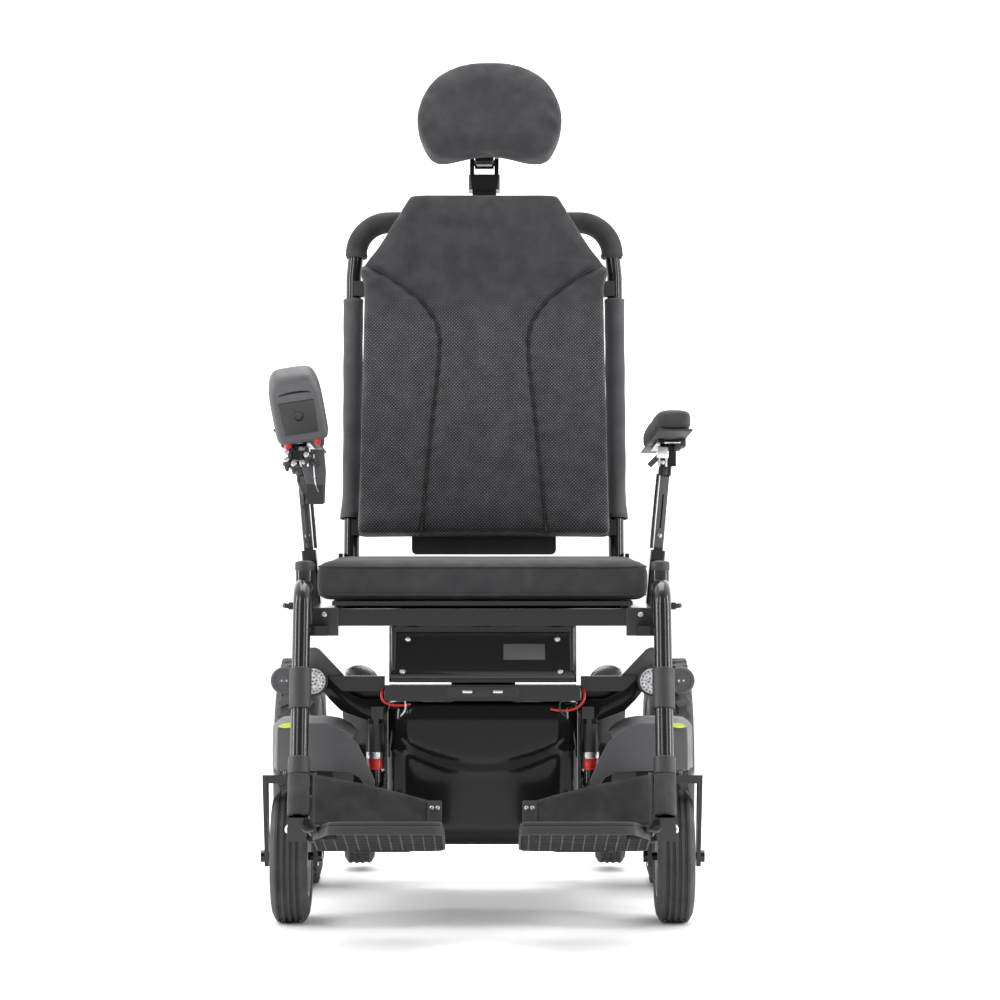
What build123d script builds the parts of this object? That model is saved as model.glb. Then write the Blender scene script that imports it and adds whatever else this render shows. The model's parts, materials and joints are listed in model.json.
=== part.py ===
from build123d import *
import math
import os

os.makedirs("parts", exist_ok=True)

# Power wheelchair, millimetres. +Z up, -Y is the front, +X is the occupant's left.
# The origin is on the floor, in the middle of the length and the width.

# --- driving dimensions ---------------------------------------------------------------
half_length = 560.0

drive_radius = 180.0
drive_width = 70.0
drive_x = 293.0
drive_y = 280.0

caster_radius = 95.0
caster_width = 55.0
caster_x = 277.0
caster_trail = 35.0
swivel_y = -245.0
axle_y = swivel_y + caster_trail
fork_top = 217.0
fork_leg = 6.0
stem_radius = 10.0

anti_tip_radius = 60.0
anti_tip_width = 50.0
anti_tip_x = 208.0
anti_tip_y = half_length - anti_tip_radius
anti_tip_z = 68.0

body_half = 143.0
body_low = 113.0
body_top = 319.0
body_front = -240.0
body_split = 100.0
body_rear = 232.0
shell = 4.0

rear_bolt_x = 120.0
rear_bolt_z = 24.0
rear_bolt_radius = 4.25

column_half = 60.0
column_low = 128.0
column_height = 186.0
column_wall = 5.0
column_gap = 1.0

rail_top = 345.0
module_low = 347.0
module_top = 427.0
module_half = 136.0
module_front = -215.0
module_rear = 76.0

tilt_y = 60.0
tilt_z = 444.0
tilt_shaft_radius = 12.0
running_gap = 0.05
cover_recess = 5.0

seat_half = 245.0
seat_rail_in = 205.0
seat_front = -300.0
seat_rear = 172.0
seat_low = 431.0
seat_high = 457.0
pan_low = 461.0
pan_high = 467.0
cushion_half = 241.0
cushion_low = 468.0
cushion_high = 524.0
cushion_rear = 112.0

recline_y = 142.0
recline_z = 500.0
back_lean = 10.0
cane_x = 206.0
cane_radius = 12.0
back_low = 50.0
back_shoulder = 474.0
back_crown = 595.0
back_half_low = 196.0
back_half_shoulder = 190.0
back_half_top = 114.0
back_thick = 62.0

head_half = 120.0
head_height = 167.0
head_thick = 78.0

arm_y = 10.0
arm_base_x = 258.0
arm_base_z = 470.0
arm_lean = 5.2
arm_pad_width = 60.0
arm_pad_thick = 36.0
arm_pad_length = 300.0
arm_pad_x = 276.5
arm_pad_seat = 698.0
arm_pad_pitch = 6.0
arm_pad_toe_in = 2.7

hanger_x = 252.0
hanger_y = -318.0
hanger_radius = 12.5
hanger_pin_radius = 7.0

foot_pitch = 14.0
foot_heel_y = -405.0
foot_heel_z = 140.0
foot_in = 52.0
foot_out = 234.0
foot_length = 159.0
foot_thick = 18.0
foot_axis_x = 236.0
foot_pin_radius = 5.0

SIDES = (("left", 1.0), ("right", -1.0))


def keep(piece, name):
    """Label a finished piece and write its STEP."""
    piece.part.label = name
    export_step(piece.part, f"parts/{name}.step")


def keep_group(pieces, name):
    """Several separate pieces bolted together, written as one node that keeps each solid apart."""
    group = Compound([solid for piece in pieces for solid in piece.part.solids()])
    group.label = name
    export_step(group, f"parts/{name}.step")


# --- base -----------------------------------------------------------------------------
def make_chassis():
    rail_x = 120.0
    rail_rear = 345.0
    with BuildPart() as chassis_frame:
        with Locations((0, 0, body_low + 5)):
            Box(2 * rail_x + 30, 440, 8)
        for side in (1, -1):
            with Locations((side * rail_x, 60, body_low + 29)):
                Box(26, 2 * (rail_rear - 60), 40)
            with Locations((side * 148, drive_y, drive_radius)):
                Box(30, 90, 90)
            with Locations((side * 137, drive_y, body_low + 32)):
                Box(40, 60, 34)
            with Locations((side * 140, -52, 200)):
                Box(14, 36, 60)
            with Locations((side * 134, -52, 160)):
                Box(10, 36, 80)
        with Locations((0, rail_rear - 15, body_low + 29)):
            Box(2 * rail_x, 26, 40)
        with Locations((0, -205, body_low + 29)):
            Box(2 * rail_x, 26, 40)
        for side in (1, -1):
            with BuildSketch(Plane.YZ.offset(drive_x * side * 0.55)) as bearing_hole:
                with Locations((drive_y, drive_radius)):
                    Circle(26)
            extrude(amount=30, both=True, mode=Mode.SUBTRACT)
        with BuildSketch(Plane.XZ.offset(-rail_rear)):
            with Locations((0, body_low + 29)):
                with GridLocations(rear_bolt_x, rear_bolt_z, 2, 2):
                    Circle(rear_bolt_radius)
        extrude(amount=40, mode=Mode.SUBTRACT)
    return chassis_frame


def make_batteries():
    with BuildPart() as batteries:
        for y in (-134, 134):
            with Locations((0, y, body_low + 96)):
                Box(200, 110, 170)
    keep(batteries, "batteries")
    with BuildPart() as controller:
        with Locations((0, 212, 250)):
            Box(190, 34, 90)
    keep(controller, "drive_controller")


def make_shrouds():
    with BuildPart() as front_shroud:
        with Locations((0, (body_front + body_split) / 2, (body_low + body_top) / 2)):
            Box(2 * body_half, body_split - body_front, body_top - body_low)
        fillet(front_shroud.edges().filter_by(Axis.Z).group_by(Axis.Y)[0], 46)
        fillet(front_shroud.edges().group_by(Axis.Z)[-1].group_by(Axis.Y)[0], 12)
        with Locations((0, (body_front + body_split) / 2 + 6, (body_low + body_top) / 2 - 8)):
            Box(2 * (body_half - shell), body_split - body_front, body_top - body_low + 8,
                mode=Mode.SUBTRACT)
        with Locations((0, 0, body_top)):
            Box(2 * column_half + 8, 2 * column_half + 8, 60, mode=Mode.SUBTRACT)
        for side in (1, -1):
            with Locations((side * 140, -52, 178)):
                Box(30, 44, 130, mode=Mode.SUBTRACT)
    keep(front_shroud, "front_shroud")
    with BuildPart() as rear_shroud:
        with Locations((0, (body_rear + body_split) / 2 + 0.5, (body_low + body_top) / 2 + 40)):
            Box(2 * body_half, body_rear - body_split, body_top - body_low - 80)
        fillet(rear_shroud.edges().group_by(Axis.Z)[-1].group_by(Axis.Y)[-1], 20)
        with Locations((0, (body_rear + body_split) / 2 - shell, (body_low + body_top) / 2 + 34)):
            Box(2 * (body_half - shell), body_rear - body_split + 2, body_top - body_low - 76,
                mode=Mode.SUBTRACT)
    keep(rear_shroud, "rear_shroud")
    with BuildPart() as side_panels:
        for side in (1, -1):
            with BuildSketch(Plane.XZ.offset(-40)):
                with BuildLine():
                    Polyline((side * 144, 332), (side * 190, 332), (side * 226, 366), (side * 250, 372))
                    Line((side * 250, 372), (side * 253, 369))
                    Polyline((side * 253, 369), (side * 230, 358), (side * 206, 334), (side * 176, 304))
                    Polyline((side * 176, 304), (side * 144, 296), (side * 144, 332))
                make_face()
            extrude(amount=200)
    keep(side_panels, "side_panels")


def make_motors():
    """Gearbox on the drive axle, motor barrel leaning forward and up, one set per side."""
    cap = (192.0, 84.0, 334.0)
    with BuildPart() as motors:
        for side in (1, -1):
            with BuildSketch(Plane.YZ.offset(side * 208)):
                with Locations((drive_y, drive_radius)):
                    Circle(46)
            extrude(amount=32, both=True)
            top = Vector(side * cap[0], cap[1], cap[2])
            foot = Vector(side * cap[0], drive_y - 24, drive_radius + 26)
            with BuildSketch(Plane(origin=top, x_dir=(1, 0, 0), z_dir=foot - top)):
                Circle(28.5)
            extrude(amount=(foot - top).length)
            with BuildSketch(Plane.YZ.offset(side * 200)):
                with Locations((drive_y, drive_radius)):
                    Circle(14)
            extrude(amount=130 * side)
            with BuildSketch(Plane.YZ.offset(side * 163.3)):
                with Locations((drive_y, drive_radius)):
                    Circle(24)
            extrude(amount=14 * side)
    keep(motors, "gear_motors")


def make_anti_tip_arms():
    arm_x = 173.0
    with BuildPart() as anti_tip_arms:
        for side in (1, -1):
            with BuildSketch(Plane.YZ.offset(side * arm_x)):
                with BuildLine():
                    Polyline((326.5, 118), (345, 146), (anti_tip_y + 10, anti_tip_z + 20),
                             (anti_tip_y + 18, anti_tip_z - 12), (anti_tip_y - 14, anti_tip_z - 14),
                             (326.5, 118))
                make_face()
            extrude(amount=4, both=True)
            with Locations((side * 151.5, 335.5, 138)):
                Box(35, 18, 24)
            with BuildSketch(Plane.YZ.offset(side * arm_x)):
                with Locations((anti_tip_y, anti_tip_z)):
                    Circle(6)
            extrude(amount=66 * side)
    keep(anti_tip_arms, "anti_tip_arms")


def wheel(side, x, y, z, outer, inner, half_width, crown):
    """A ring about the X axis, with rounded shoulders."""
    with BuildPart() as ring:
        with BuildSketch(Plane(origin=(side * x, y, z), x_dir=(0, 0, 1), z_dir=(0, 1, 0))) as section:
            with Locations(((outer + inner) / 2, 0)):
                RectangleRounded(outer - inner, 2 * half_width, crown)
        revolve(axis=Axis((side * x, y, z), (1, 0, 0)))
    return ring


def rim(side, x, y, z, outer, bore, half_width, lip):
    """A covered rim: barrel, hub with a through bore, and a thick disc set a little below the lip."""
    with BuildPart() as disc:
        centre = Plane(origin=(side * x, y, z), x_dir=(0, 1, 0), z_dir=(1, 0, 0))
        with BuildSketch(centre):
            Circle(outer)
            Circle(outer - lip, mode=Mode.SUBTRACT)
        extrude(amount=half_width, both=True)
        with BuildSketch(centre):
            Circle(outer - lip)
            Circle(bore, mode=Mode.SUBTRACT)
        extrude(amount=half_width - cover_recess, both=True)
        with BuildSketch(centre):
            Circle(bore + 12)
            Circle(bore, mode=Mode.SUBTRACT)
        extrude(amount=half_width - cover_recess / 2, both=True)
    return disc


def make_wheels():
    caster_rim = 58.0
    drive_rim = 118.0
    for name, side in SIDES:
        keep(wheel(side, drive_x, drive_y, drive_radius, drive_radius, drive_rim,
                   drive_width / 2, 16), f"drive_tyre_{name}")
        keep(rim(side, drive_x, drive_y, drive_radius, drive_rim, 14 + running_gap, 30, 8),
             f"drive_rim_{name}")
        keep(wheel(side, caster_x, axle_y, caster_radius, caster_radius, caster_rim,
                   caster_width / 2, 15), f"caster_tyre_{name}")
        keep(rim(side, caster_x, axle_y, caster_radius, caster_rim, 6 + running_gap, 24, 6),
             f"caster_rim_{name}")
        with BuildPart() as anti_tip_wheel:
            hub = Plane(origin=(side * anti_tip_x, anti_tip_y, anti_tip_z), x_dir=(0, 1, 0),
                        z_dir=(1, 0, 0))
            with BuildSketch(hub):
                Circle(anti_tip_radius)
                Circle(6 + running_gap, mode=Mode.SUBTRACT)
            extrude(amount=anti_tip_width / 2, both=True)
            fillet(anti_tip_wheel.edges().filter_by(GeomType.CIRCLE).sort_by(SortBy.RADIUS)[-2:], 12)
        keep(anti_tip_wheel, f"anti_tip_wheel_{name}")


def make_casters():
    leg_in = caster_width / 2 + 5
    for name, side in SIDES:
        with BuildPart() as fork:
            for offset in (-1, 1):
                face = caster_x * side + offset * (leg_in + fork_leg / 2)
                with BuildSketch(Plane.YZ.offset(face)):
                    with BuildLine():
                        Polyline((swivel_y - 22, fork_top), (swivel_y + 24, fork_top),
                                 (axle_y + 15, caster_radius + 8), (axle_y + 11, caster_radius - 14),
                                 (axle_y - 11, caster_radius - 14), (axle_y - 15, caster_radius + 8),
                                 (swivel_y - 22, fork_top))
                    make_face()
                extrude(amount=fork_leg / 2, both=True)
            with Locations((caster_x * side, swivel_y + 1, fork_top - 6)):
                Box(2 * leg_in + 1, 46, 12)
            with Locations((caster_x * side, swivel_y, fork_top + 22)):
                Cylinder(stem_radius, 44)
            with BuildSketch(Plane.YZ.offset(caster_x * side)):
                with Locations((axle_y, caster_radius)):
                    Circle(6)
            extrude(amount=leg_in + fork_leg, both=True)
            with BuildSketch(Plane.YZ.offset(caster_x * side - leg_in - fork_leg)):
                with Locations((axle_y, caster_radius)):
                    Circle(9)
            extrude(amount=-6)
            with BuildSketch(Plane.YZ.offset(caster_x * side + leg_in + fork_leg)):
                with Locations((axle_y, caster_radius)):
                    Circle(9)
            extrude(amount=6)
        keep(fork, f"caster_fork_{name}")
        with BuildPart() as arm:
            with Locations((side * 159, -142, 180)):
                Box(20, 196, 14)
            with Locations((side * 159, -52, 190)):
                Box(20, 36, 34)
            with BuildSketch(Plane.YZ.offset(side * 159)):
                with Locations((-52, 200)):
                    Circle(8 + running_gap)
            extrude(amount=20, both=True, mode=Mode.SUBTRACT)
            with Locations((side * 176, swivel_y - 2, 218)):
                Box(18, 30, 84)
            with Locations((side * 166, swivel_y - 2, 180)):
                Box(10, 30, 14)
            with Locations((side * (168 + caster_x) / 2, swivel_y - 2, 243)):
                Box(caster_x - 168, 30, 30)
            with Locations((caster_x * side, swivel_y, 243)):
                Cylinder(20, 40)
                Cylinder(stem_radius + running_gap, 40, mode=Mode.SUBTRACT)
            with Locations((side * 156, -222, 206)):
                Cylinder(5, 44)
        keep(arm, f"caster_arm_{name}")
    with BuildPart() as pins:
        for side in (1, -1):
            with BuildSketch(Plane.YZ.offset(side * 147)):
                with Locations((-52, 200)):
                    Circle(8)
            extrude(amount=26 * side)
            with BuildSketch(Plane.YZ.offset(side * 171)):
                with Locations((-52, 200)):
                    Circle(12)
            extrude(amount=5 * side)
    keep_group([make_chassis(), pins], "chassis_frame")
    with BuildPart() as shocks:
        for side in (1, -1):
            with Locations((side * 156, -222, 245)):
                Cylinder(9.5, 84)
                Cylinder(7.5, 84, mode=Mode.SUBTRACT)
            with Locations((side * 156, -222, 291)):
                Cylinder(9.5, 8)
            with Locations((side * 152, -222, 304)):
                Box(17.6, 20, 18)
    keep(shocks, "shock_absorbers")


def hood_section(side, spread):
    """The hood's wall across the chair, its outer skirt moved out by spread to clear the swivel barrel."""
    rows = ((182, 275), (192, 285), (208, 294), (225, 297), (268 + spread, 297), (284 + spread, 295),
            (291 + spread, 290), (292 + spread, 230), (289 + spread, 230), (288 + spread, 288.5),
            (283 + spread, 292), (267.5 + spread, 294), (225.5, 294), (209.5, 291), (194, 282.5), (184.5, 275))
    return [(side * x, z) for x, z in rows + rows[:1]]


def make_fenders():
    front, barrel, rear, wall = 335.0, 278.0, 168.0, 3.0
    skirt_spread = 9.5
    face = ((149, 204), (149, 213), (160, 239), (174, 267), (192, 285), (208, 294), (225, 297), (268, 297),
            (284, 295), (291, 290), (292, 229), (241, 227), (188, 226), (172, 217), (163, 204), (149, 204))
    accent_x, accent_z, accent_out = 277.5, 292.4, 2.5
    for name, side in SIDES:
        with BuildPart() as fender:
            with BuildSketch(Plane.XZ.offset(rear)):
                with BuildLine():
                    Polyline(*hood_section(side, skirt_spread))
                make_face()
            extrude(amount=barrel - rear)
            with BuildSketch(Plane.XZ.offset(barrel)):
                with BuildLine():
                    Polyline(*hood_section(side, skirt_spread))
                make_face()
            with BuildSketch(Plane.XZ.offset(front - wall)):
                with BuildLine():
                    Polyline(*hood_section(side, 0))
                make_face()
            loft(ruled=True)
            with BuildSketch(Plane.XZ.offset(front - wall)):
                with BuildLine():
                    Polyline(*[(side * x, z) for x, z in face])
                make_face()
            extrude(amount=wall)
        keep(fender, f"fender_{name}")
    with BuildPart() as accents:
        for side in (1, -1):
            with BuildSketch(Plane.XZ.offset(front)):
                with Locations((side * accent_x, accent_z)):
                    Ellipse(10, 3.4)
            extrude(amount=accent_out)
    keep(accents, "fender_accents")


def make_lights():
    lamp_x, lamp_z, lamp_y = 245.0, 350.0, -236.0
    disc_x = 287.0
    with BuildPart() as lamps:
        for side in (1, -1):
            with BuildSketch(Plane.XZ.offset(-lamp_y - 28)):
                with Locations((side * lamp_x, lamp_z)):
                    Circle(22)
            extrude(amount=26)
    with BuildPart() as lenses:
        for side in (1, -1):
            with BuildSketch(Plane.XZ.offset(-lamp_y - 2)):
                with Locations((side * lamp_x, lamp_z)):
                    Circle(18.5)
            extrude(amount=5)
    keep(lenses, "headlamp_lenses")
    with BuildPart() as discs:
        for side in (1, -1):
            with BuildSketch(Plane.XZ.offset(-lamp_y - 28)):
                with Locations((side * disc_x, lamp_z)):
                    Circle(20)
            extrude(amount=16)
    keep_group([lamps, discs], "lamp_housings")


def make_lift():
    with BuildPart() as module_rail:
        with Locations((0, -225, 333)):
            Box(282, 26, 23)
        with Locations((0, -239, 334)):
            Box(107, 4, 17)
        for side in (1, -1):
            with Locations((side * 100, -150, 325)):
                Box(24, 140, 11)

    with BuildPart() as lamp_brackets:
        for side in (1, -1):
            with Locations((side * 221, -205, 345)):
                Box(158, 6, 22)
    keep_group([module_rail, lamp_brackets], "module_rail")

    def column(size, low, height):
        with BuildPart() as stage:
            with Locations((0, 0, low + height / 2)):
                Box(2 * size, 2 * size, height)
                Box(2 * (size - column_wall), 2 * (size - column_wall), height, mode=Mode.SUBTRACT)
        return stage

    step = column_wall + column_gap
    keep(column(column_half, column_low, column_height), "lift_outer_column")
    keep(column(column_half - step, column_low + 4, column_height), "lift_middle_column")
    inner = column(column_half - 2 * step, column_low + 8, module_low - column_low - 8)
    with BuildPart() as module:
        with Locations((0, (module_front + module_rear) / 2, (module_low + module_top) / 2)):
            Box(2 * module_half, module_rear - module_front, module_top - module_low)
        fillet(module.edges().filter_by(Axis.Z), 10)
        for side in (1, -1):
            with Locations((side * 110, tilt_y, module_top - 1)):
                Box(14, 26, 30)
            with BuildSketch(Plane.YZ.offset(side * 110)):
                with Locations((tilt_y, tilt_z)):
                    Circle(15.5)
            extrude(amount=7, both=True)
            with BuildSketch(Plane.YZ.offset(side * 110)):
                with Locations((tilt_y, tilt_z)):
                    Circle(tilt_shaft_radius + running_gap)
            extrude(amount=7, both=True, mode=Mode.SUBTRACT)
        with Locations((0, -190, module_top + 1)):
            Cylinder(12, 3.5)
    keep_group([module, inner], "tilt_module")


# --- seat -----------------------------------------------------------------------------
def make_seat():
    rail_mid = (seat_rail_in + seat_half) / 2
    rail_height = seat_high - seat_low
    mid_z = (seat_low + seat_high) / 2
    with BuildPart() as seat_frame:
        for side in (1, -1):
            with Locations((side * rail_mid, (seat_front + seat_rear) / 2, mid_z)):
                Box(seat_half - seat_rail_in, seat_rear - seat_front, rail_height)
            with Locations((side * rail_mid, seat_front + 22, 438)):
                Box(seat_half - seat_rail_in, 44, 40)
            with Locations((side * 242, hanger_y + 2, 426)):
                Box(46, 34, 14)
            with Locations((side * hanger_x, hanger_y, 463)):
                Cylinder(hanger_pin_radius, 64)
            with Locations((side * 222, recline_y - 2, 492)):
                Box(6, 44, 74)
            with BuildSketch(Plane.YZ.offset(side * 188)):
                with Locations((recline_y, recline_z)):
                    Circle(6)
            extrude(amount=36 * side)
            with BuildSketch(Plane.YZ.offset(side * 188)):
                with Locations((recline_y, recline_z)):
                    Circle(10)
            extrude(amount=4 * side)
        for y in (seat_front + 14, seat_rear - 34):
            with Locations((0, y, mid_z)):
                Box(2 * seat_rail_in, 26, 24)
        with BuildSketch(Plane.YZ.offset(-seat_rail_in)):
            with Locations((tilt_y, tilt_z)):
                Circle(tilt_shaft_radius)
        extrude(amount=2 * seat_rail_in)
    keep(seat_frame, "seat_frame")
    with BuildPart() as seat_pan:
        with Locations((0, (seat_front + cushion_rear) / 2, (pan_low + pan_high) / 2)):
            Box(2 * 214, cushion_rear - seat_front, pan_high - pan_low)
        for x in (-208, 208):
            for y in (-220, -80, 90):
                with Locations((x, y, 459)):
                    Cylinder(7, 4)
    keep(seat_pan, "seat_pan")
    with BuildPart() as cushion:
        with Locations((0, (seat_front + cushion_rear) / 2, (cushion_low + cushion_high) / 2)):
            Box(2 * cushion_half, cushion_rear - seat_front, cushion_high - cushion_low)
        fillet(cushion.edges(), 12)
    keep(cushion, "seat_cushion")


back_up = Vector(0, math.sin(math.radians(back_lean)), math.cos(math.radians(back_lean)))
back_out = Vector(0, math.cos(math.radians(back_lean)), -math.sin(math.radians(back_lean)))


def back_point(x, up, behind=0.0):
    """A point on the reclined back: up along it from the recline pivot, behind it to the rear."""
    return Vector(x, recline_y, recline_z) + back_up * up + back_out * behind


def back_plane(behind):
    """A plane facing the occupant, X to the chair's left, Y up along the back."""
    return Plane(origin=back_point(0, 0, behind), x_dir=(1, 0, 0), z_dir=-1 * back_out)


def make_back():
    hoop_top = 560.0
    hoop_straight = 470.0
    hoop_lean_in = 8.0
    grip_low = 505.0
    bend = 52.0
    with BuildPart() as hoop:
        with BuildLine() as route:
            FilletPolyline(back_point(-cane_x, -24), back_point(-cane_x, hoop_straight),
                           back_point(-cane_x + hoop_lean_in, hoop_top), back_point(cane_x - hoop_lean_in, hoop_top),
                           back_point(cane_x, hoop_straight), back_point(cane_x, -24), radius=bend)
        with BuildSketch(Plane(origin=route.line @ 0, z_dir=route.line % 0)):
            Circle(cane_radius)
        sweep()
        with BuildSketch(Plane.YZ):
            with Locations((recline_y, recline_z)):
                Circle(6 + running_gap)
        extrude(amount=260, both=True, mode=Mode.SUBTRACT)
    keep(hoop, "back_hoop")

    def grip_start(side):
        share = (grip_low - hoop_straight) / (hoop_top - hoop_straight)
        return back_point(side * (cane_x - hoop_lean_in * share), grip_low)

    with BuildPart() as grips:
        for side in (1, -1):
            with BuildLine() as grip_route:
                FilletPolyline(grip_start(side), back_point(side * (cane_x - hoop_lean_in), hoop_top),
                               back_point(side * 112, hoop_top), radius=bend)
            with BuildSketch(Plane(origin=grip_route.line @ 0, z_dir=grip_route.line % 0)):
                Circle(17)
                Circle(cane_radius + running_gap, mode=Mode.SUBTRACT)
            sweep()
    keep(grips, "push_grips")
    with BuildPart() as pad:
        with BuildSketch(back_plane(-19)):
            with BuildLine():
                Polyline((-back_half_low, back_low), (back_half_low, back_low),
                         (back_half_shoulder, back_shoulder), (back_half_top, back_crown),
                         (-back_half_top, back_crown), (-back_half_shoulder, back_shoulder),
                         (-back_half_low, back_low))
            make_face()
        extrude(amount=back_thick)
        fillet(pad.edges(), 14)
    keep(pad, "back_pad")
    with BuildPart() as panel:
        with BuildSketch(back_plane(-17)):
            with Locations((0, 270)):
                RectangleRounded(350, 400, 20)
            with Locations((0, 60)):
                RectangleRounded(224, 70, 8)
        extrude(amount=-4)
        for side in (1, -1):
            for up in (68, 450):
                with BuildSketch(back_plane(-13)):
                    with Locations((side * 188, up)):
                        Rectangle(36, 24)
                extrude(amount=-13)
            with BuildSketch(Plane(origin=back_point(side * cane_x, 40), z_dir=back_up)):
                Circle(cane_radius + running_gap)
            extrude(amount=430, mode=Mode.SUBTRACT)
    keep_group([panel, make_headrest_bracket()], "back_panel")
    with BuildPart() as sleeves:
        for side in (1, -1):
            with BuildSketch(Plane(origin=back_point(side * cane_x, 84), z_dir=back_up)):
                Circle(15.6)
                Circle(cane_radius + 0.3, mode=Mode.SUBTRACT)
            extrude(amount=350)
    keep(sleeves, "back_sleeves")


head_behind = 22.0
head_offset = 8.5
head_low = 643.5
head_tilt_up = 664.0
stem_width = 38.0
stem_thick = 12.0


def make_headrest_bracket():
    """The clamp on the hoop's top bar that the headrest post slides through."""
    upright = Plane(origin=back_point(0, 0, head_behind), x_dir=(1, 0, 0), z_dir=back_up)
    with BuildPart() as bracket:
        with BuildSketch(upright.offset(505)):
            RectangleRounded(62, 40, 4)
            Rectangle(stem_width + 2 * running_gap, stem_thick + 2 * running_gap, mode=Mode.SUBTRACT)
        extrude(amount=76)
        with BuildSketch(Plane.YZ.offset(-32)):
            middle = back_point(0, 560)
            with Locations((middle.Y, middle.Z)):
                Circle(cane_radius + running_gap)
        extrude(amount=64, mode=Mode.SUBTRACT)
    return bracket


def make_headrest():
    stem = back_point(0, 0, head_behind)
    upright = Plane(origin=stem, x_dir=(1, 0, 0), z_dir=back_up)
    knuckle = stem + back_up * head_tilt_up
    with BuildPart() as post:
        with BuildSketch(upright.offset(425)):
            Rectangle(stem_width, stem_thick)
        extrude(amount=192)
        with BuildSketch(upright.offset(617)):
            RectangleRounded(50, 26, 5)
        extrude(amount=25)
        for side in (1, -1):
            with BuildSketch(upright.offset(642)):
                with Locations((side * 19.5, 0)):
                    Rectangle(7, 20)
            extrude(amount=head_tilt_up - 642)
            with BuildSketch(Plane.YZ.offset(side * 16)):
                with Locations((knuckle.Y, knuckle.Z)):
                    Circle(10)
            extrude(amount=7 * side)
        with BuildSketch(Plane.YZ.offset(-20)):
            with Locations((knuckle.Y, knuckle.Z)):
                Circle(5)
        extrude(amount=40)
    keep(post, "headrest_post")
    flank = ((50, 160), (95, 130), (head_half - 0.5, 72), (106, 18), (80, 2))
    with BuildPart() as head:
        face = Plane(origin=back_point(head_offset, 0, head_behind - 24), x_dir=(1, 0, 0), z_dir=-1 * back_out)
        with BuildSketch(face):
            with BuildLine():
                Spline((0, head_low + head_height), *[(x, head_low + up) for x, up in flank],
                       (0, head_low + 9), *[(-x, head_low + up) for x, up in reversed(flank)], periodic=True)
            make_face()
        extrude(amount=head_thick)
        fillet(head.edges().filter_by(GeomType.LINE, reverse=True), 18)
        with BuildSketch(Plane.YZ.offset(-15.5)):
            with Locations((knuckle.Y, knuckle.Z)):
                Circle(10)
        extrude(amount=31)
        with BuildSketch(Plane(origin=knuckle, x_dir=(1, 0, 0), z_dir=-1 * back_out)):
            with Locations((0, 8)):
                Rectangle(31, 34)
        extrude(amount=30)
        with BuildSketch(Plane.YZ.offset(-20)):
            with Locations((knuckle.Y, knuckle.Z)):
                Circle(5 + running_gap)
        extrude(amount=40, mode=Mode.SUBTRACT)
    keep(head, "headrest_pad")


# --- arms -----------------------------------------------------------------------------
def arm_axis(side):
    """The leaning upright of an arm: its foot and its direction."""
    lean = math.radians(arm_lean)
    return Vector(side * arm_base_x, arm_y, arm_base_z), Vector(side * math.sin(lean), 0, math.cos(lean))


def arm_head(side):
    """The top of an arm's upright, where the pad's carrier is welded."""
    foot, up = arm_axis(side)
    return foot + up * 196


def arm_plane(side, along):
    foot, up = arm_axis(side)
    return Plane(origin=foot + up * along, x_dir=(0, 1, 0), z_dir=up)


def arm_pad_plane(side):
    """The underside of an arm pad: Y towards the rear, Z up, front end raised and rear end inboard."""
    pitch, toe = math.radians(arm_pad_pitch), math.radians(arm_pad_toe_in)
    return Plane(origin=(side * arm_pad_x, 0, arm_pad_seat), x_dir=(math.cos(toe), side * math.sin(toe), 0),
                 z_dir=(0, math.sin(pitch), math.cos(pitch)))


def make_arms():
    post_length = 222.0
    post_foot = -16.0
    with BuildPart() as sockets:
        for side in (1, -1):
            with BuildSketch(arm_plane(side, -20)):
                RectangleRounded(44, 22, 3)
                Rectangle(32 + 2 * running_gap, 14 + 2 * running_gap, mode=Mode.SUBTRACT)
            extrude(amount=86)
            with Locations((side * 250.5, arm_y, 441.5)):
                Box(11, 44, 17)
    keep(sockets, "armrest_sockets")
    for name, side in SIDES:
        head = arm_head(side)
        with BuildPart() as post:
            with BuildSketch(arm_plane(side, post_foot)):
                Rectangle(32, 14)
            extrude(amount=post_length)
            with Locations((head.X + side * 3, arm_y, head.Z + 12.5)):
                Box(24, 46, 31)
            with BuildSketch(arm_pad_plane(side)):
                with Locations((0, arm_y)):
                    RectangleRounded(36, 110, 4)
            extrude(amount=-5)
        pieces = [post, make_joystick_bracket()] if side < 0 else [post]
        keep_group(pieces, f"armrest_post_{name}")
        with BuildPart() as pad:
            with BuildSketch(arm_pad_plane(side).offset(0.3)):
                Rectangle(arm_pad_width, arm_pad_length)
            extrude(amount=arm_pad_thick)
            fillet(pad.edges(), 10)
        keep(pad, f"armrest_pad_{name}")


pod_centre = Vector(-268, -226, 748)
pod_pitch = 58.0
pod_roll = 9.0
stick_at = -18.0
button_at = 34.0


def pod_plane(height):
    """The joystick pod's plane: Y down along the pod's face, Z out of the face towards the hand."""
    pitch, roll = math.radians(pod_pitch), math.radians(pod_roll)
    face = Vector(-math.cos(pitch) * math.sin(roll), math.sin(pitch), math.cos(pitch) * math.cos(roll))
    return Plane(origin=pod_centre + face * height, x_dir=(math.cos(roll), 0, math.sin(roll)), z_dir=face)


swing = Vector(-268, -196, 664)


def make_joystick_bracket():
    """The arm that runs forward under the pad and ends in the eye the joystick swings on."""
    head = arm_head(-1)
    reach = arm_y - swing.Y - 20
    with BuildPart() as bracket:
        with Locations((swing.X, swing.Y + reach / 2, head.Z + 11)):
            Box(20, reach, 14)
        with Locations((swing.X, swing.Y, head.Z + 11)):
            Cylinder(13, 14)
            Cylinder(5 + running_gap, 14, mode=Mode.SUBTRACT)
    return bracket


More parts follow.
